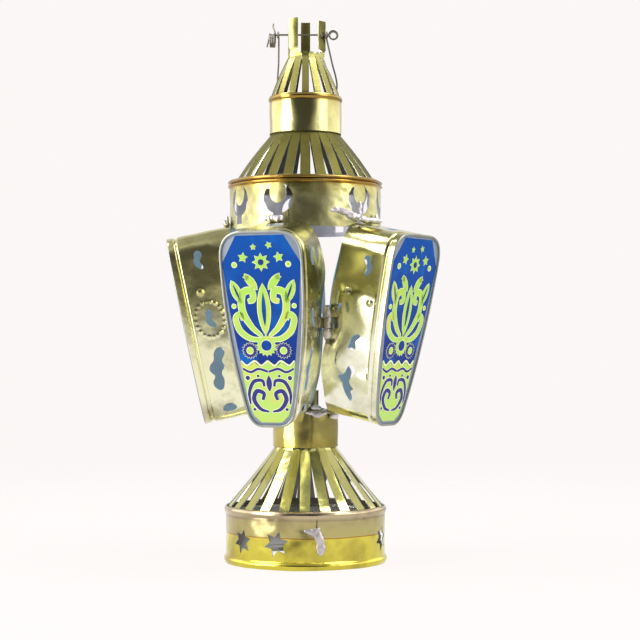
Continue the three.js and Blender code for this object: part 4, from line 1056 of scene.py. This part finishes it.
def top_width(finger, row):
    """A tab is wide above the tips of the other fingers, which are rounded."""
    if finger in TABS:
        return TAB_W if row > tab_row else TOP_FINGER_W
    return TOP_FINGER_W * (TIP_SHARE if row >= tab_row else 1)


skin = cage_skin(
    cage_profile, TOP_FINGERS, TOP_FINGER_W, (first_slot, tab_row), seed=13, twist=3, bow=0.2, sway=0.15,
    kept=tab_kept, wide=top_width,
)
for vert in skin.verts:
    for azimuth, twist in TAB_TWISTS:
        ahead, aside = outwards(azimuth), outwards(azimuth + 90)
        out, side = vert.co.dot(ahead), vert.co.dot(aside)
        in_tab = TAB_W / 2 + 0.2 if vert.co.z > tab_foot + 1.1 else out * math.tan(math.pi / TOP_FINGERS)
        if out > 0 and abs(side) < in_tab:
            turn = math.radians(twist) * smoothstep(vert.co.z, upright_z - 8, tab_foot + 3)
            flat = ahead * (out + side * math.sin(turn)) + aside * side * math.cos(turn)
            vert.co = flat + Vector((0, 0, vert.co.z))
dented(skin, 7, 0.35, 7, keep=lambda co: smoothstep(co.z, tab_foot, tab_foot + 5))
punches = bmesh.new()
along_wire = Matrix.Translation((0, 0, cross_wire_z)) @ rotation(90, "Y")
add_prism(punches, circle(0, 0, WIRE_R + SEAT_GAP, 16), 4 * UPRIGHT_R, along_wire, 1)
strips = sheet_metal(skin, [TOP_STRIP_LACQUER, TAB_INSIDE, CUT_EDGE_PAINTED_GLINT, TAB_PAINTED_SHADE], punches, edge=2)
# Painted shade: the outside of the tab on the right side takes the near-black finish.
for face in strips.polygons:
    if face.center.z > tab_foot + 0.5 and face.center.x > 0.8 * UPRIGHT_R and face.material_index == 0:
        face.material_index = 3
piece("top_cage_strips", strips, stands_for=["top_cage"])


# Panes. Each is a plate of glass behind the petal's front lip, with a blue ground printed on its face and on
# it a vine of lime leaves, stars, rings and sun wheels in cream outlines, over a lime field of dark curls.
GLASS_FRONT = 0.8
GLASS_T = 2.0
GLASS_INSET = 0.85
PRINT_T = 0.08
PRINT_EDGE = [(5.4, 2.6), (9.4, 6.2), (11.9, 14), (14.6, 34.2), (18.4, 60), (20.6, 84), (12.6, 97.6)]
PRINT_FOOT_Z, PRINT_HEAD_Z = 90, 168
FIELD_RIM = [(14.2, 34.4), (11.2, 32.0), (7.0, 34.3), (3.6, 32.0), (0, 34.4)]
DARK_WAVE = [(13.6, 30.4), (9.5, 28.6), (5.2, 30.2), (0.2, 28.8)]
VINES = [
    ([(2.2, 47), (7.4, 52), (11.6, 60), (11.0, 68.5), (6.2, 70), (5.4, 65.6), (8.0, 64.6)], 3.3),
    ([(1.4, 45.5), (7.8, 45.6), (13.4, 49.6), (15.4, 56.0), (12.6, 58.2), (11.6, 55.4)], 2.8),
]
DARK_CURLS = [
    ([(1.0, 8.2), (5.4, 9.6), (8.6, 14.4), (6.8, 18.8), (3.2, 17.6), (3.9, 14.2)], 2.3),
    ([(10.6, 12.0), (10.9, 18.0), (8.2, 23.6), (3.6, 24.2), (2.6, 21.2)], 1.9),
]
DARK_DISCS = [(11.2, 25.6, 1.15, 0.4), (5.6, 26.6, 0.7, 0.3), (8.6, 9.4, 0.8, 0.3)]


def enamel(name, top, foot, blotch=None):
    """Glossy print on glass. Its colour runs from the petals' feet to their heads, with a few blotches."""
    material = bpy.data.materials.new(name)
    tree = fresh_tree(material)
    place = add_node(tree, "ShaderNodeTexCoord").outputs["Object"]
    height = add_node(tree, "ShaderNodeSeparateXYZ", {0: place}).outputs["Z"]
    share = ranged(tree, height, PRINT_FOOT_Z * MM, PRINT_HEAD_Z * MM)
    colour = mixed(tree, share, (*foot, 1), (*top, 1))
    spots = ranged(tree, clouded(tree, place, 70, 3), 0.52, 0.7, 0, 0.8)
    spotted = mixed(tree, spots, colour, (*(blotch or foot), 1))
    finish = {"Base Color": spotted, "Roughness": 0.22, "Specular IOR Level": 0.12}
    surface = add_node(tree, "ShaderNodeBsdfPrincipled", finish)
    add_node(tree, "ShaderNodeOutputMaterial", {"Surface": surface.outputs[0]})
    return material


PANE_GLASS = tin(
    "pane_glass", [(0, (0.20, 0.24, 0.30))], (0.12, 0.14, 0.19), 0.6, (0.45, 0.6), 0.5, seed=9.0, metallic=0
)
BLUE_PRINT = enamel("blue_print", (0.002, 0.062, 0.30), (0.008, 0.020, 0.16), (0.003, 0.11, 0.42))
LIME_PRINT = enamel("lime_print", (0.31, 0.56, 0.07), (0.38, 0.58, 0.14), (0.54, 0.53, 0.09))
CREAM_PRINT = enamel("cream_print", (0.62, 0.72, 0.36), (0.72, 0.74, 0.44))
DARK_PRINT = enamel("dark_print", (0.015, 0.030, 0.18), (0.035, 0.036, 0.19))
PRINTS = [PANE_GLASS, BLUE_PRINT, LIME_PRINT, CREAM_PRINT, DARK_PRINT]
GLASS, BLUE, LIME, CREAM, DARK = range(5)


def smooth_path(points, pitch):
    """Points about a pitch apart on a smooth curve through the given ones."""
    points = [Vector(point) for point in points]
    ends = [points[0] * 2 - points[1], *points, points[-1] * 2 - points[-2]]
    path = []
    for i in range(len(points) - 1):
        before, start, end, after = ends[i:i + 4]
        steps = max(round((end - start).length / pitch), 1)
        for k in range(steps):
            t = k / steps
            path.append(0.5 * (
                start * 2 + (end - before) * t + (before * 2 - start * 5 + end * 4 - after) * t * t
                + (start * 3 - before - end * 3 + after) * t * t * t
            ))
    return path + [points[-1]]


def brushed(points, widest, tip=0.25):
    """The outline of a brushed line along a smooth path, thin at its start and round at its end."""
    path = smooth_path(points, 0.7)
    left, right = [], []
    for i, point in enumerate(path):
        t = i / (len(path) - 1)
        along = (path[min(i + 1, len(path) - 1)] - path[max(i - 1, 0)]).normalized()
        half = widest / 2 * (tip + (1 - tip) * math.sin(math.pi * min(t * 0.85 + 0.02, 1)) ** 0.7)
        left.append(point + Vector((-along.y, along.x)) * half)
        right.append(point - Vector((-along.y, along.x)) * half)
    return right + left[::-1]


def star_at(x, y, points, tip, inner, turn=0):
    spin = Matrix.Rotation(math.radians(turn), 2)
    return [spin @ corner.xy + Vector((x, y)) for corner in star_outline(points, tip, inner)]


def leaf_outline(x, y, length, width, turn):
    """A pointed leaf that starts at a place and grows at an angle from upright."""
    spin = Matrix.Rotation(math.radians(turn), 2)
    side = [Vector((width / 2 * math.sin(math.pi * t / 9) ** 0.8, length * t / 9)) for t in range(10)]
    outline = side + mirror_back(side[1:-1])
    return [spin @ point + Vector((x, y)) for point in outline]


def add_print(bm, outline, layer, finish):
    """A flat printed shape on a pane's face, a number of layers up from the glass."""
    thickness = PRINT_T * layer
    middle = Matrix.Translation((0, 0, -GLASS_FRONT + thickness / 2))
    add_prism(bm, outline, thickness, middle, finish)


def add_motif(bm, outline, fill=LIME, layer=2, edge=0.38):
    """A printed shape with a cream outline round it."""
    around = sum(a.x * b.y - b.x * a.y for a, b in zip(outline, outline[1:] + outline[:1]))
    add_print(bm, moved_out(outline, edge if around > 0 else -edge), layer, CREAM)
    add_print(bm, outline, layer + 1, fill)


def sun_wheel(bm, x, y, r, heart, fill=LIME):
    add_motif(bm, star_at(x, y, 16, r, r * 0.78), fill, 3, 0.3)
    add_print(bm, circle(x, y, heart + 0.35), 5, CREAM)
    add_print(bm, circle(x, y, heart), 6, BLUE if fill == LIME else LIME)


def mirrored(points, side):
    """The points of the right half as they are, or for a side of -1 those of the left half."""
    return [(x * side, y) for x, y in points]


def pane_print(bm):
    """The whole print, alike on its left and right but for a few small stars."""
    add_print(bm, vectors(*PRINT_EDGE) + mirror_back(PRINT_EDGE), 1, BLUE)
    field = PRINT_EDGE[:4]
    half, field_top = field[-1]
    scallops = []
    for i in range(1, 40):
        dip = 2.6 * abs(math.sin(math.pi * i / 10)) ** 0.8
        scallops.append(Vector((half - half * i / 20, field_top - dip)))
    add_print(bm, vectors(*field) + scallops + mirror_back(field), 2, LIME)
    for side in (-1, 1):
        add_print(bm, brushed(mirrored(FIELD_RIM, side), 0.8, 0.9), 3, CREAM)
        add_motif(bm, brushed(mirrored(DARK_WAVE, side), 1.3, 0.7), DARK, 3, 0.3)
        for points, widest in VINES:
            add_motif(bm, brushed(mirrored(points, side), widest))
        add_motif(bm, leaf_outline(side * 11.8, 63.5, 12.5, 4.6, -side * 22))
        add_print(bm, leaf_outline(side * 12.4, 65.3, 8.6, 1.0, -side * 22), 4, DARK)
        add_motif(bm, leaf_outline(side * 3.0, 70.5, 10, 3.6, -side * 38))
        add_motif(bm, star_at(side * 9.4, 86.6, 5, 2.5, 1.15, 10 * side), edge=0.3)
        add_motif(bm, circle(side * 14.2, 83.0, 1.0), edge=0.55)
        add_motif(bm, circle(side * 15.9, 62.2, 0.85), edge=0.5)
        add_motif(bm, star_at(side * 8.2, 76.6, 5, 1.9, 0.9, -12 * side), edge=0.3)
        sun_wheel(bm, side * 8.9, 39.6, 4.1, 1.6, DARK)
        for points, widest in DARK_CURLS:
            add_motif(bm, brushed(mirrored(points, side), widest), DARK, 3, 0.35)
        for x, y, r, edge in DARK_DISCS:
            add_motif(bm, circle(side * x, y, r), DARK, 3, edge)
    add_motif(bm, leaf_outline(0, 47.5, 26, 6.6, 0), layer=4)
    add_print(bm, leaf_outline(0, 52, 17, 2.2, 0), 6, BLUE)
    sun_wheel(bm, 0, 42.2, 5.4, 2.7)
    add_motif(bm, star_at(0, 84.2, 8, 4.4, 2.5), layer=3)
    add_print(bm, circle(0, 84.2, 1.5), 5, DARK)
    add_motif(bm, star_at(-3.6, 91.8, 5, 1.5, 0.7), edge=0.25)
    add_motif(bm, star_at(4.6, 92.6, 5, 1.7, 0.8, 20), edge=0.25)
    add_motif(bm, leaf_outline(0, 18.5, 8.5, 3.0, 0), DARK, 3, 0.35)


for index, name in enumerate(PETAL_NAMES):
    plate = bmesh.new()
    plate_middle = Matrix.Translation((0, 0, -GLASS_FRONT - GLASS_T / 2))
    add_prism(plate, moved_out(petal_outline(2.2, 5), -GLASS_INSET), GLASS_T, plate_middle, GLASS)
    bm = bmesh.new()
    bm.from_mesh(worked(mesh_of(plate, PRINTS), ("BEVEL", {"width": 0.2, "segments": 2, "angle_limit": 0.9})))
    pane_print(bm)
    bmesh.ops.transform(bm, matrix=petal_matrix(petal_azimuth(index)), verts=bm.verts)
    piece(
        f"{name}_pane", mesh_of(bm, PRINTS), "door" if name == "door" else "lantern",
        [f"{name}_petal_glass"], sharp=25,
    )


# Solder. Lumpy grey runs join the petals' tops to the upper ring, their feet to the lower neck and their
# sides to each other. A flat patch closes the seam of the base ring over one of its stars, and two more runs
# lie on the upper ring and on the top of the lower neck, by the door's hinge.
SOLDER_GRAIN = 0.32
SOLDER_METAL = tin(
    "solder_metal", [(0, (0.72, 0.69, 0.70))], (0.30, 0.27, 0.26), 0.75, (0.34, 0.55), 0.7, seed=14.0
)
RUN_SHARE = 0.98
SIDE_RUN_R = 2.3
# Each lump has its azimuth, or on the patch how far it lies to the right, its height, and its two half sizes.
SEAM_PATCH_LUMPS = [
    (1.2, 20.3, 1.9, 1.1), (3.0, 20.0, 2.3, 1.7), (5.2, 19.6, 2.6, 2.4), (6.8, 18.0, 2.2, 2.8),
    (7.6, 16.0, 2.2, 2.8), (8.1, 13.8, 2.4, 2.8), (8.3, 11.6, 2.4, 2.8), (8.1, 9.6, 1.9, 2.2),
    (7.0, 21.2, 1.0, 1.2),
]
UPPER_RUN_LUMPS = [
    (20.5, 184.2, 1.6, 1.0), (23.5, 184.5, 2.2, 1.5), (27, 184.4, 2.6, 1.9), (31, 183.6, 2.8, 2.0),
    (35, 182.4, 2.9, 2.3), (39, 181.4, 3.0, 2.3), (43, 180.8, 3.0, 2.4), (44.5, 183.6, 1.5, 3.2),
    (45, 187.2, 1.2, 3.0), (47.5, 180.6, 2.8, 2.0), (51.5, 180.2, 2.2, 1.6),
]
NECK_RUN_LUMPS = [
    (4, 79.6, 1.3, 0.9), (9, 79.5, 1.8, 1.3), (15, 79.2, 2.0, 1.7), (21, 78.7, 2.1, 1.9),
    (27, 78.9, 1.9, 1.6), (33, 79.3, 1.8, 1.3), (38, 79.6, 1.3, 1.0), (15, 82.0, 1.6, 1.6),
    (20, 82.3, 1.8, 1.7), (25, 81.6, 1.5, 1.3),
]


def solder_run(name, places, seed, node=None, rough=0.45):
    """A run of molten lumps, each given by its place and its three half sizes along the run, up and out."""
    chance = random.Random(seed)
    bm = bmesh.new()
    for matrix, sizes in places:
        uneven = [size * chance.uniform(0.9, 1.06) for size in sizes]
        lump = matrix @ Matrix.Diagonal((*uneven, 1))
        bmesh.ops.create_icosphere(bm, subdivisions=3, radius=1, matrix=lump)
    mesh = worked(
        mesh_of(bm, [SOLDER_METAL]), ("REMESH", {"mode": "VOXEL", "voxel_size": SOLDER_GRAIN}),
        ("SMOOTH", {"factor": 0.5, "iterations": 3}),
    )
    bm = bmesh.new()
    bm.from_mesh(mesh)
    dented(bm, seed, rough, 2.2)
    piece(name, mesh_of(bm, [SOLDER_METAL]), stands_for=[node] if node else (), sharp=60)


def lumps_along(matrix, length, radius, count, seed):
    """Places of overlapping lumps along a line, thicker in its middle."""
    chance = random.Random(seed)
    places = []
    for i in range(count):
        along = length * ((i + 0.5) / count - 0.5)
        thick = radius * (0.78 + 0.22 * math.cos(2.2 * along / length)) * chance.uniform(0.86, 1.0)
        half = min(length / count * 1.5, length / 2 - abs(along))
        aside = chance.uniform(-0.12, 0.12) * radius
        places.append((matrix @ Matrix.Translation((along, aside, 0)), (half, thick, thick)))
    return places


def middle_of(node, azimuth):
    """How far out and how far aside a node's middle is along an azimuth, its height, and how tall it is."""
    low, high = span(node)
    middle = (low + high) / 2
    return middle.dot(outwards(azimuth)), middle.dot(outwards(azimuth + 90)), middle.z, high.z - low.z


for index, name in enumerate(PETAL_NAMES):
    azimuth = petal_azimuth(index)
    if name != "door":
        for kind, half_long, count in [("top", 10, 9), ("foot", 3.4, 4)]:
            node = f"{name}_{kind}_solder"
            out, _, z, tall = middle_of(node, azimuth)
            line = facing(azimuth, out, z)
            places = lumps_along(line, half_long * 2, tall / 2 * RUN_SHARE, count, index * 7 + half_long)
            if kind == "top":
                places.append((line @ Matrix.Translation((6.4, 1.6, -0.9)), (1.2, 2.4, 0.9)))
            solder_run(f"{name}_{kind}_solder_run", places, index * 3 + count, node)

for name, azimuth in [("right", 90), ("back", 162), ("left", 234)]:
    node = f"{name}_side_solder"
    out, _, z, tall = middle_of(node, azimuth)
    upright = facing(azimuth, out, z) @ rotation(90, "Z")
    places = lumps_along(upright, tall, SIDE_RUN_R, 7, azimuth)
    solder_run(f"{name}_side_solder_run", places, azimuth, node)

places = [
    (facing(math.degrees(x / ring_r), ring_r + 0.35, z), (half_w, half_h, 0.75))
    for x, z, half_w, half_h in SEAM_PATCH_LUMPS
]
solder_run("ring_seam_solder", places, 41, rough=0.25)
places = [(facing(azimuth, upper_ring_r + 0.2, z), (w, h, 0.9)) for azimuth, z, w, h in UPPER_RUN_LUMPS]
solder_run("upper_ring_solder", places, 43)
neck_r = span("lower_neck")[1].x
places = [(facing(azimuth, neck_r + 0.3, z), (w, h, 0.85)) for azimuth, z, w, h in NECK_RUN_LUMPS]
solder_run("neck_top_solder", places, 47)


# Door hinge and catch. Three rolled knuckles on a wire pin between the door petal and its neighbour, grey
# from solder, with a leaf on each petal's wall. A rolled barrel on the upper ring stops the door's top.
KNUCKLE_R, KNUCKLE_BORE_R = 2.2, 1.0
KNUCKLE_DENT = 0.5
KNUCKLE_TIP_SHARE, KNUCKLE_TIP_H = 0.72, 2.6
KNUCKLE_END = [(KNUCKLE_BORE_R, 0.05), (KNUCKLE_R - 0.3, 0), (KNUCKLE_R - 0.06, 0.22), (KNUCKLE_R, 0.6)]
PIN_R, PIN_HEAD_R = 0.7, 1.5
PIN_END = [
    (0.01, 0), (0.8, 0.06), (PIN_HEAD_R - 0.15, 0.3), (PIN_HEAD_R, 0.6), (PIN_HEAD_R - 0.1, 0.8),
    (PIN_R, 0.82),
]
LEAF_L = 7.0
WALL_FROM_AXIS = 2.6

HINGE_METAL = tin(
    "hinge_metal", [(0, (0.62, 0.59, 0.54))], (0.24, 0.20, 0.15), 0.7, (0.3, 0.5), 0.9, seed=15.0
)
HINGE_FINISHES = [HINGE_METAL, PETAL_LACQUER_PAINTED_FLOOR_REFLECTION]
STEEL = tin("steel_wire", [(0, (0.24, 0.22, 0.19))], (0.09, 0.07, 0.05), 0.6, (0.22, 0.42), 0.4, seed=16.0)

pin_low, pin_high = span("hinge_pin")
hinge = (pin_low + pin_high) / 2
hinge.z = 0
half_pitch = math.radians(PETAL_PITCH / 2)
axis_out, axis_side = hinge.length * math.cos(half_pitch), hinge.length * math.sin(half_pitch)
leaf_wall = axis_side - WALL_FROM_AXIS + 0.15
LEAF_SECTION = [
    (leaf_wall, axis_out - KNUCKLE_R / 2), (axis_side - KNUCKLE_BORE_R - 0.4, axis_out - KNUCKLE_R / 2),
    (leaf_wall + 0.9, axis_out + 1.8), (leaf_wall + SHEET, axis_out + 3.2),
    (leaf_wall + SHEET, axis_out + LEAF_L), (leaf_wall, axis_out + LEAF_L),
]


def turned_bar(end, low, high, pitch):
    """The profile of a straight bar with two like ends, given by their radii and depths in the bar."""
    foot = [Vector((r, low + inside)) for r, inside in end]
    head = [Vector((r, high - inside)) for r, inside in reversed(end)]
    return foot + run(foot[-1], head[0], pitch)[1:] + head


def hinge_leaf(name, node, side, body, seed):
    low, high = span(node)
    profile = turned_bar(KNUCKLE_END, low.z, high.z, 0.6)
    bm = turned_skin(profile + profile[:1], 40)
    far_end = {"lower_hinge_leaf": low.z, "upper_hinge_leaf": high.z}.get(node)
    for vert in bm.verts:
        if far_end and vert.co.xy.length > 1.5:
            full = smoothstep(abs(vert.co.z - far_end), 0, KNUCKLE_TIP_H) ** 0.6
            vert.co.xy *= KNUCKLE_TIP_SHARE + (1 - KNUCKLE_TIP_SHARE) * full
    dented(bm, seed, KNUCKLE_DENT, 2.0, keep=lambda co: smoothstep(co.xy.length, 1.3, 2.0))
    bmesh.ops.translate(bm, vec=hinge, verts=bm.verts)
    azimuth = petal_azimuth(PETAL_NAMES.index("door") + (0 if side > 0 else 1))
    out, across = outwards(azimuth), outwards(azimuth + 90)
    outline = [(out * o + across * (side * w)).xy for w, o in LEAF_SECTION]
    leaf = bmesh.new()
    add_prism(leaf, outline, high.z - low.z - 0.1, Matrix.Translation((0, 0, (low.z + high.z) / 2)), 1)
    bm.from_mesh(worked(mesh_of(leaf, HINGE_FINISHES), ("BEVEL", {"width": 0.12, "segments": 2})))
    piece(name, mesh_of(bm, HINGE_FINISHES), body, [node])


hinge_leaf("lower_hinge_knuckle", "lower_hinge_leaf", -1, "lantern", 21)
hinge_leaf("door_hinge_knuckle", "door_hinge_leaf", 1, "door", 22)
hinge_leaf("upper_hinge_knuckle", "upper_hinge_leaf", -1, "lantern", 23)

bm = turned_skin(turned_bar(PIN_END, pin_low.z, pin_high.z, 2.0), 28)
bmesh.ops.remove_doubles(bm, verts=bm.verts, dist=0.02)
bmesh.ops.translate(bm, vec=hinge, verts=bm.verts)
piece("hinge_pin_wire", mesh_of(bm, [STEEL]), stands_for=["hinge_pin"])

door_azimuth = petal_azimuth(PETAL_NAMES.index("door"))
out, aside, z, _ = middle_of("door_catch", door_azimuth)
barrel = facing(door_azimuth, out, z) @ Matrix.Translation((aside, 0, 0))
solder_run("door_catch_barrel", lumps_along(barrel, 11, 2.0, 16, 5), 51, "door_catch", rough=0.3)


# Cross wire and bail. One steel wire crosses the tabs, with a small coil at its left end and a ring eye at
# its right. A second one is looped round it by a small eye at each end, as the bail, and leans back.
WIRE_SIDES = 12
WIRE_FIT = 0.02
WIRE_BEND = [(-17.0, 1.2, 6.4), (-17.3, 0.6, 4.6), (-16.6, -0.4, 2.2)]
COIL_START_X, COIL_END_X, COIL_R, COIL_TURNS, COIL_STEPS = -16.1, -19.1, 3.2, 3, 14
RING_EYE_X, RING_EYE_R = 15.0, 2.4
BAIL_LEFT_X, BAIL_RIGHT_X = -14.3, 11.2
BAIL_DROP, BAIL_HALF_W, BAIL_SHIFT = 45, 16, 1
BAIL_EYE_R, BAIL_EYE_W = 1.4, 0.5
BAIL_LEAN = 27


def wire_mesh(path, place):
    """A round wire along a path, with domed ends."""
    path = [place @ point for point in path]
    bm = bmesh.new()
    normal = (path[1] - path[0]).orthogonal().normalized()
    rings = []
    fullness = [0.35, 0.8] + [1.0] * (len(path) - 2) + [0.8, 0.35]
    stations = [path[0], path[0].lerp(path[1], 0.25), *path[1:-1], path[-1].lerp(path[-2], 0.25), path[-1]]
    for i, point in enumerate(stations):
        along = (stations[min(i + 1, len(stations) - 1)] - stations[max(i - 1, 0)]).normalized()
        normal = (normal - along * normal.dot(along)).normalized()
        other = along.cross(normal)
        thick = (WIRE_R - WIRE_FIT) * fullness[i]
        rings.append([
            bm.verts.new(point + (normal * math.cos(a) + other * math.sin(a)) * thick)
            for a in (2 * math.pi * k / WIRE_SIDES for k in range(WIRE_SIDES))
        ])
    for first, second in zip(rings, rings[1:]):
        for k in range(WIRE_SIDES):
            bm.faces.new((first[k - 1], first[k], second[k], second[k - 1]))
    bm.faces.new(rings[0])
    bm.faces.new(rings[-1])
    bmesh.ops.recalc_face_normals(bm, faces=bm.faces)
    return mesh_of(bm, [STEEL])


wire_place = Matrix.Translation((0, 0, cross_wire_z))
coil = vectors(*WIRE_BEND)
for i in range(COIL_TURNS * COIL_STEPS + 1):
    angle = 2 * math.pi * i / COIL_STEPS
    x = COIL_END_X + (COIL_START_X - COIL_END_X) * (1 - i / (COIL_TURNS * COIL_STEPS))
    swell = COIL_R - 0.1 * math.sin(i * 0.9)
    coil.append(Vector((x, swell * math.sin(angle), -COIL_R + swell * math.cos(angle))))
coil.append(Vector((COIL_END_X - 1.6, 1.4, -COIL_R * 2)))

bar = vectors(
    (COIL_START_X - 0.4, 0, -1.6), (COIL_START_X + 0.3, 0, -0.3), (-13.0, 0, 0), (-9.3, 0, 0), (0, 0, 0),
    (9.3, 0, 0), (RING_EYE_X - RING_EYE_R - 0.6, 0, 0),
)
for i in range(31):
    angle = math.radians(200 - 360 * i / 16)
    away = Vector((math.cos(angle), 0, math.sin(angle)))
    bar.append(Vector((RING_EYE_X, 1.1 * i / 16, 0)) + away * (RING_EYE_R - 0.5 * i / 30))
bm = bmesh.new()
bm.from_mesh(wire_mesh(smooth_path(coil, 0.5), wire_place))
bm.from_mesh(wire_mesh(smooth_path(bar, 0.5), wire_place))
piece("cross_wire_steel", mesh_of(bm, [STEEL]), stands_for=["cross_wire"], sharp=60)

left_eye = []
for i in range(-15, 0):
    angle = 2 * math.pi * i / 14
    around = (BAIL_EYE_R * math.sin(angle), -BAIL_EYE_R * math.cos(angle))
    left_eye.append(Vector((BAIL_LEFT_X + BAIL_EYE_W * i / 14, *around)))
right_eye = [Vector((BAIL_LEFT_X + BAIL_RIGHT_X - x, y, z)) for x, y, z in reversed(left_eye)]
arc_top = BAIL_HALF_W - BAIL_DROP
left, right = BAIL_SHIFT - BAIL_HALF_W, BAIL_SHIFT + BAIL_HALF_W
slant = BAIL_HALF_W * math.sqrt(0.5)
loop = [
    (BAIL_LEFT_X, 0, -BAIL_EYE_R), ((BAIL_LEFT_X * 2 + left) / 3, 0, arc_top / 2), (left, 0, arc_top),
    (BAIL_SHIFT - slant, 0, arc_top - slant), (BAIL_SHIFT, 0, -BAIL_DROP),
    (BAIL_SHIFT + slant, 0, arc_top - slant), (right, 0, arc_top),
    ((BAIL_RIGHT_X + right) / 2, 0, arc_top / 2), (BAIL_RIGHT_X, 0, -BAIL_EYE_R),
]
hang = wire_place @ rotation(BAIL_LEAN, "X")
bail = wire_mesh(left_eye + smooth_path(loop, 0.9) + right_eye, hang)
piece("bail_wire", bail, "bail", ["bail"], sharp=60)
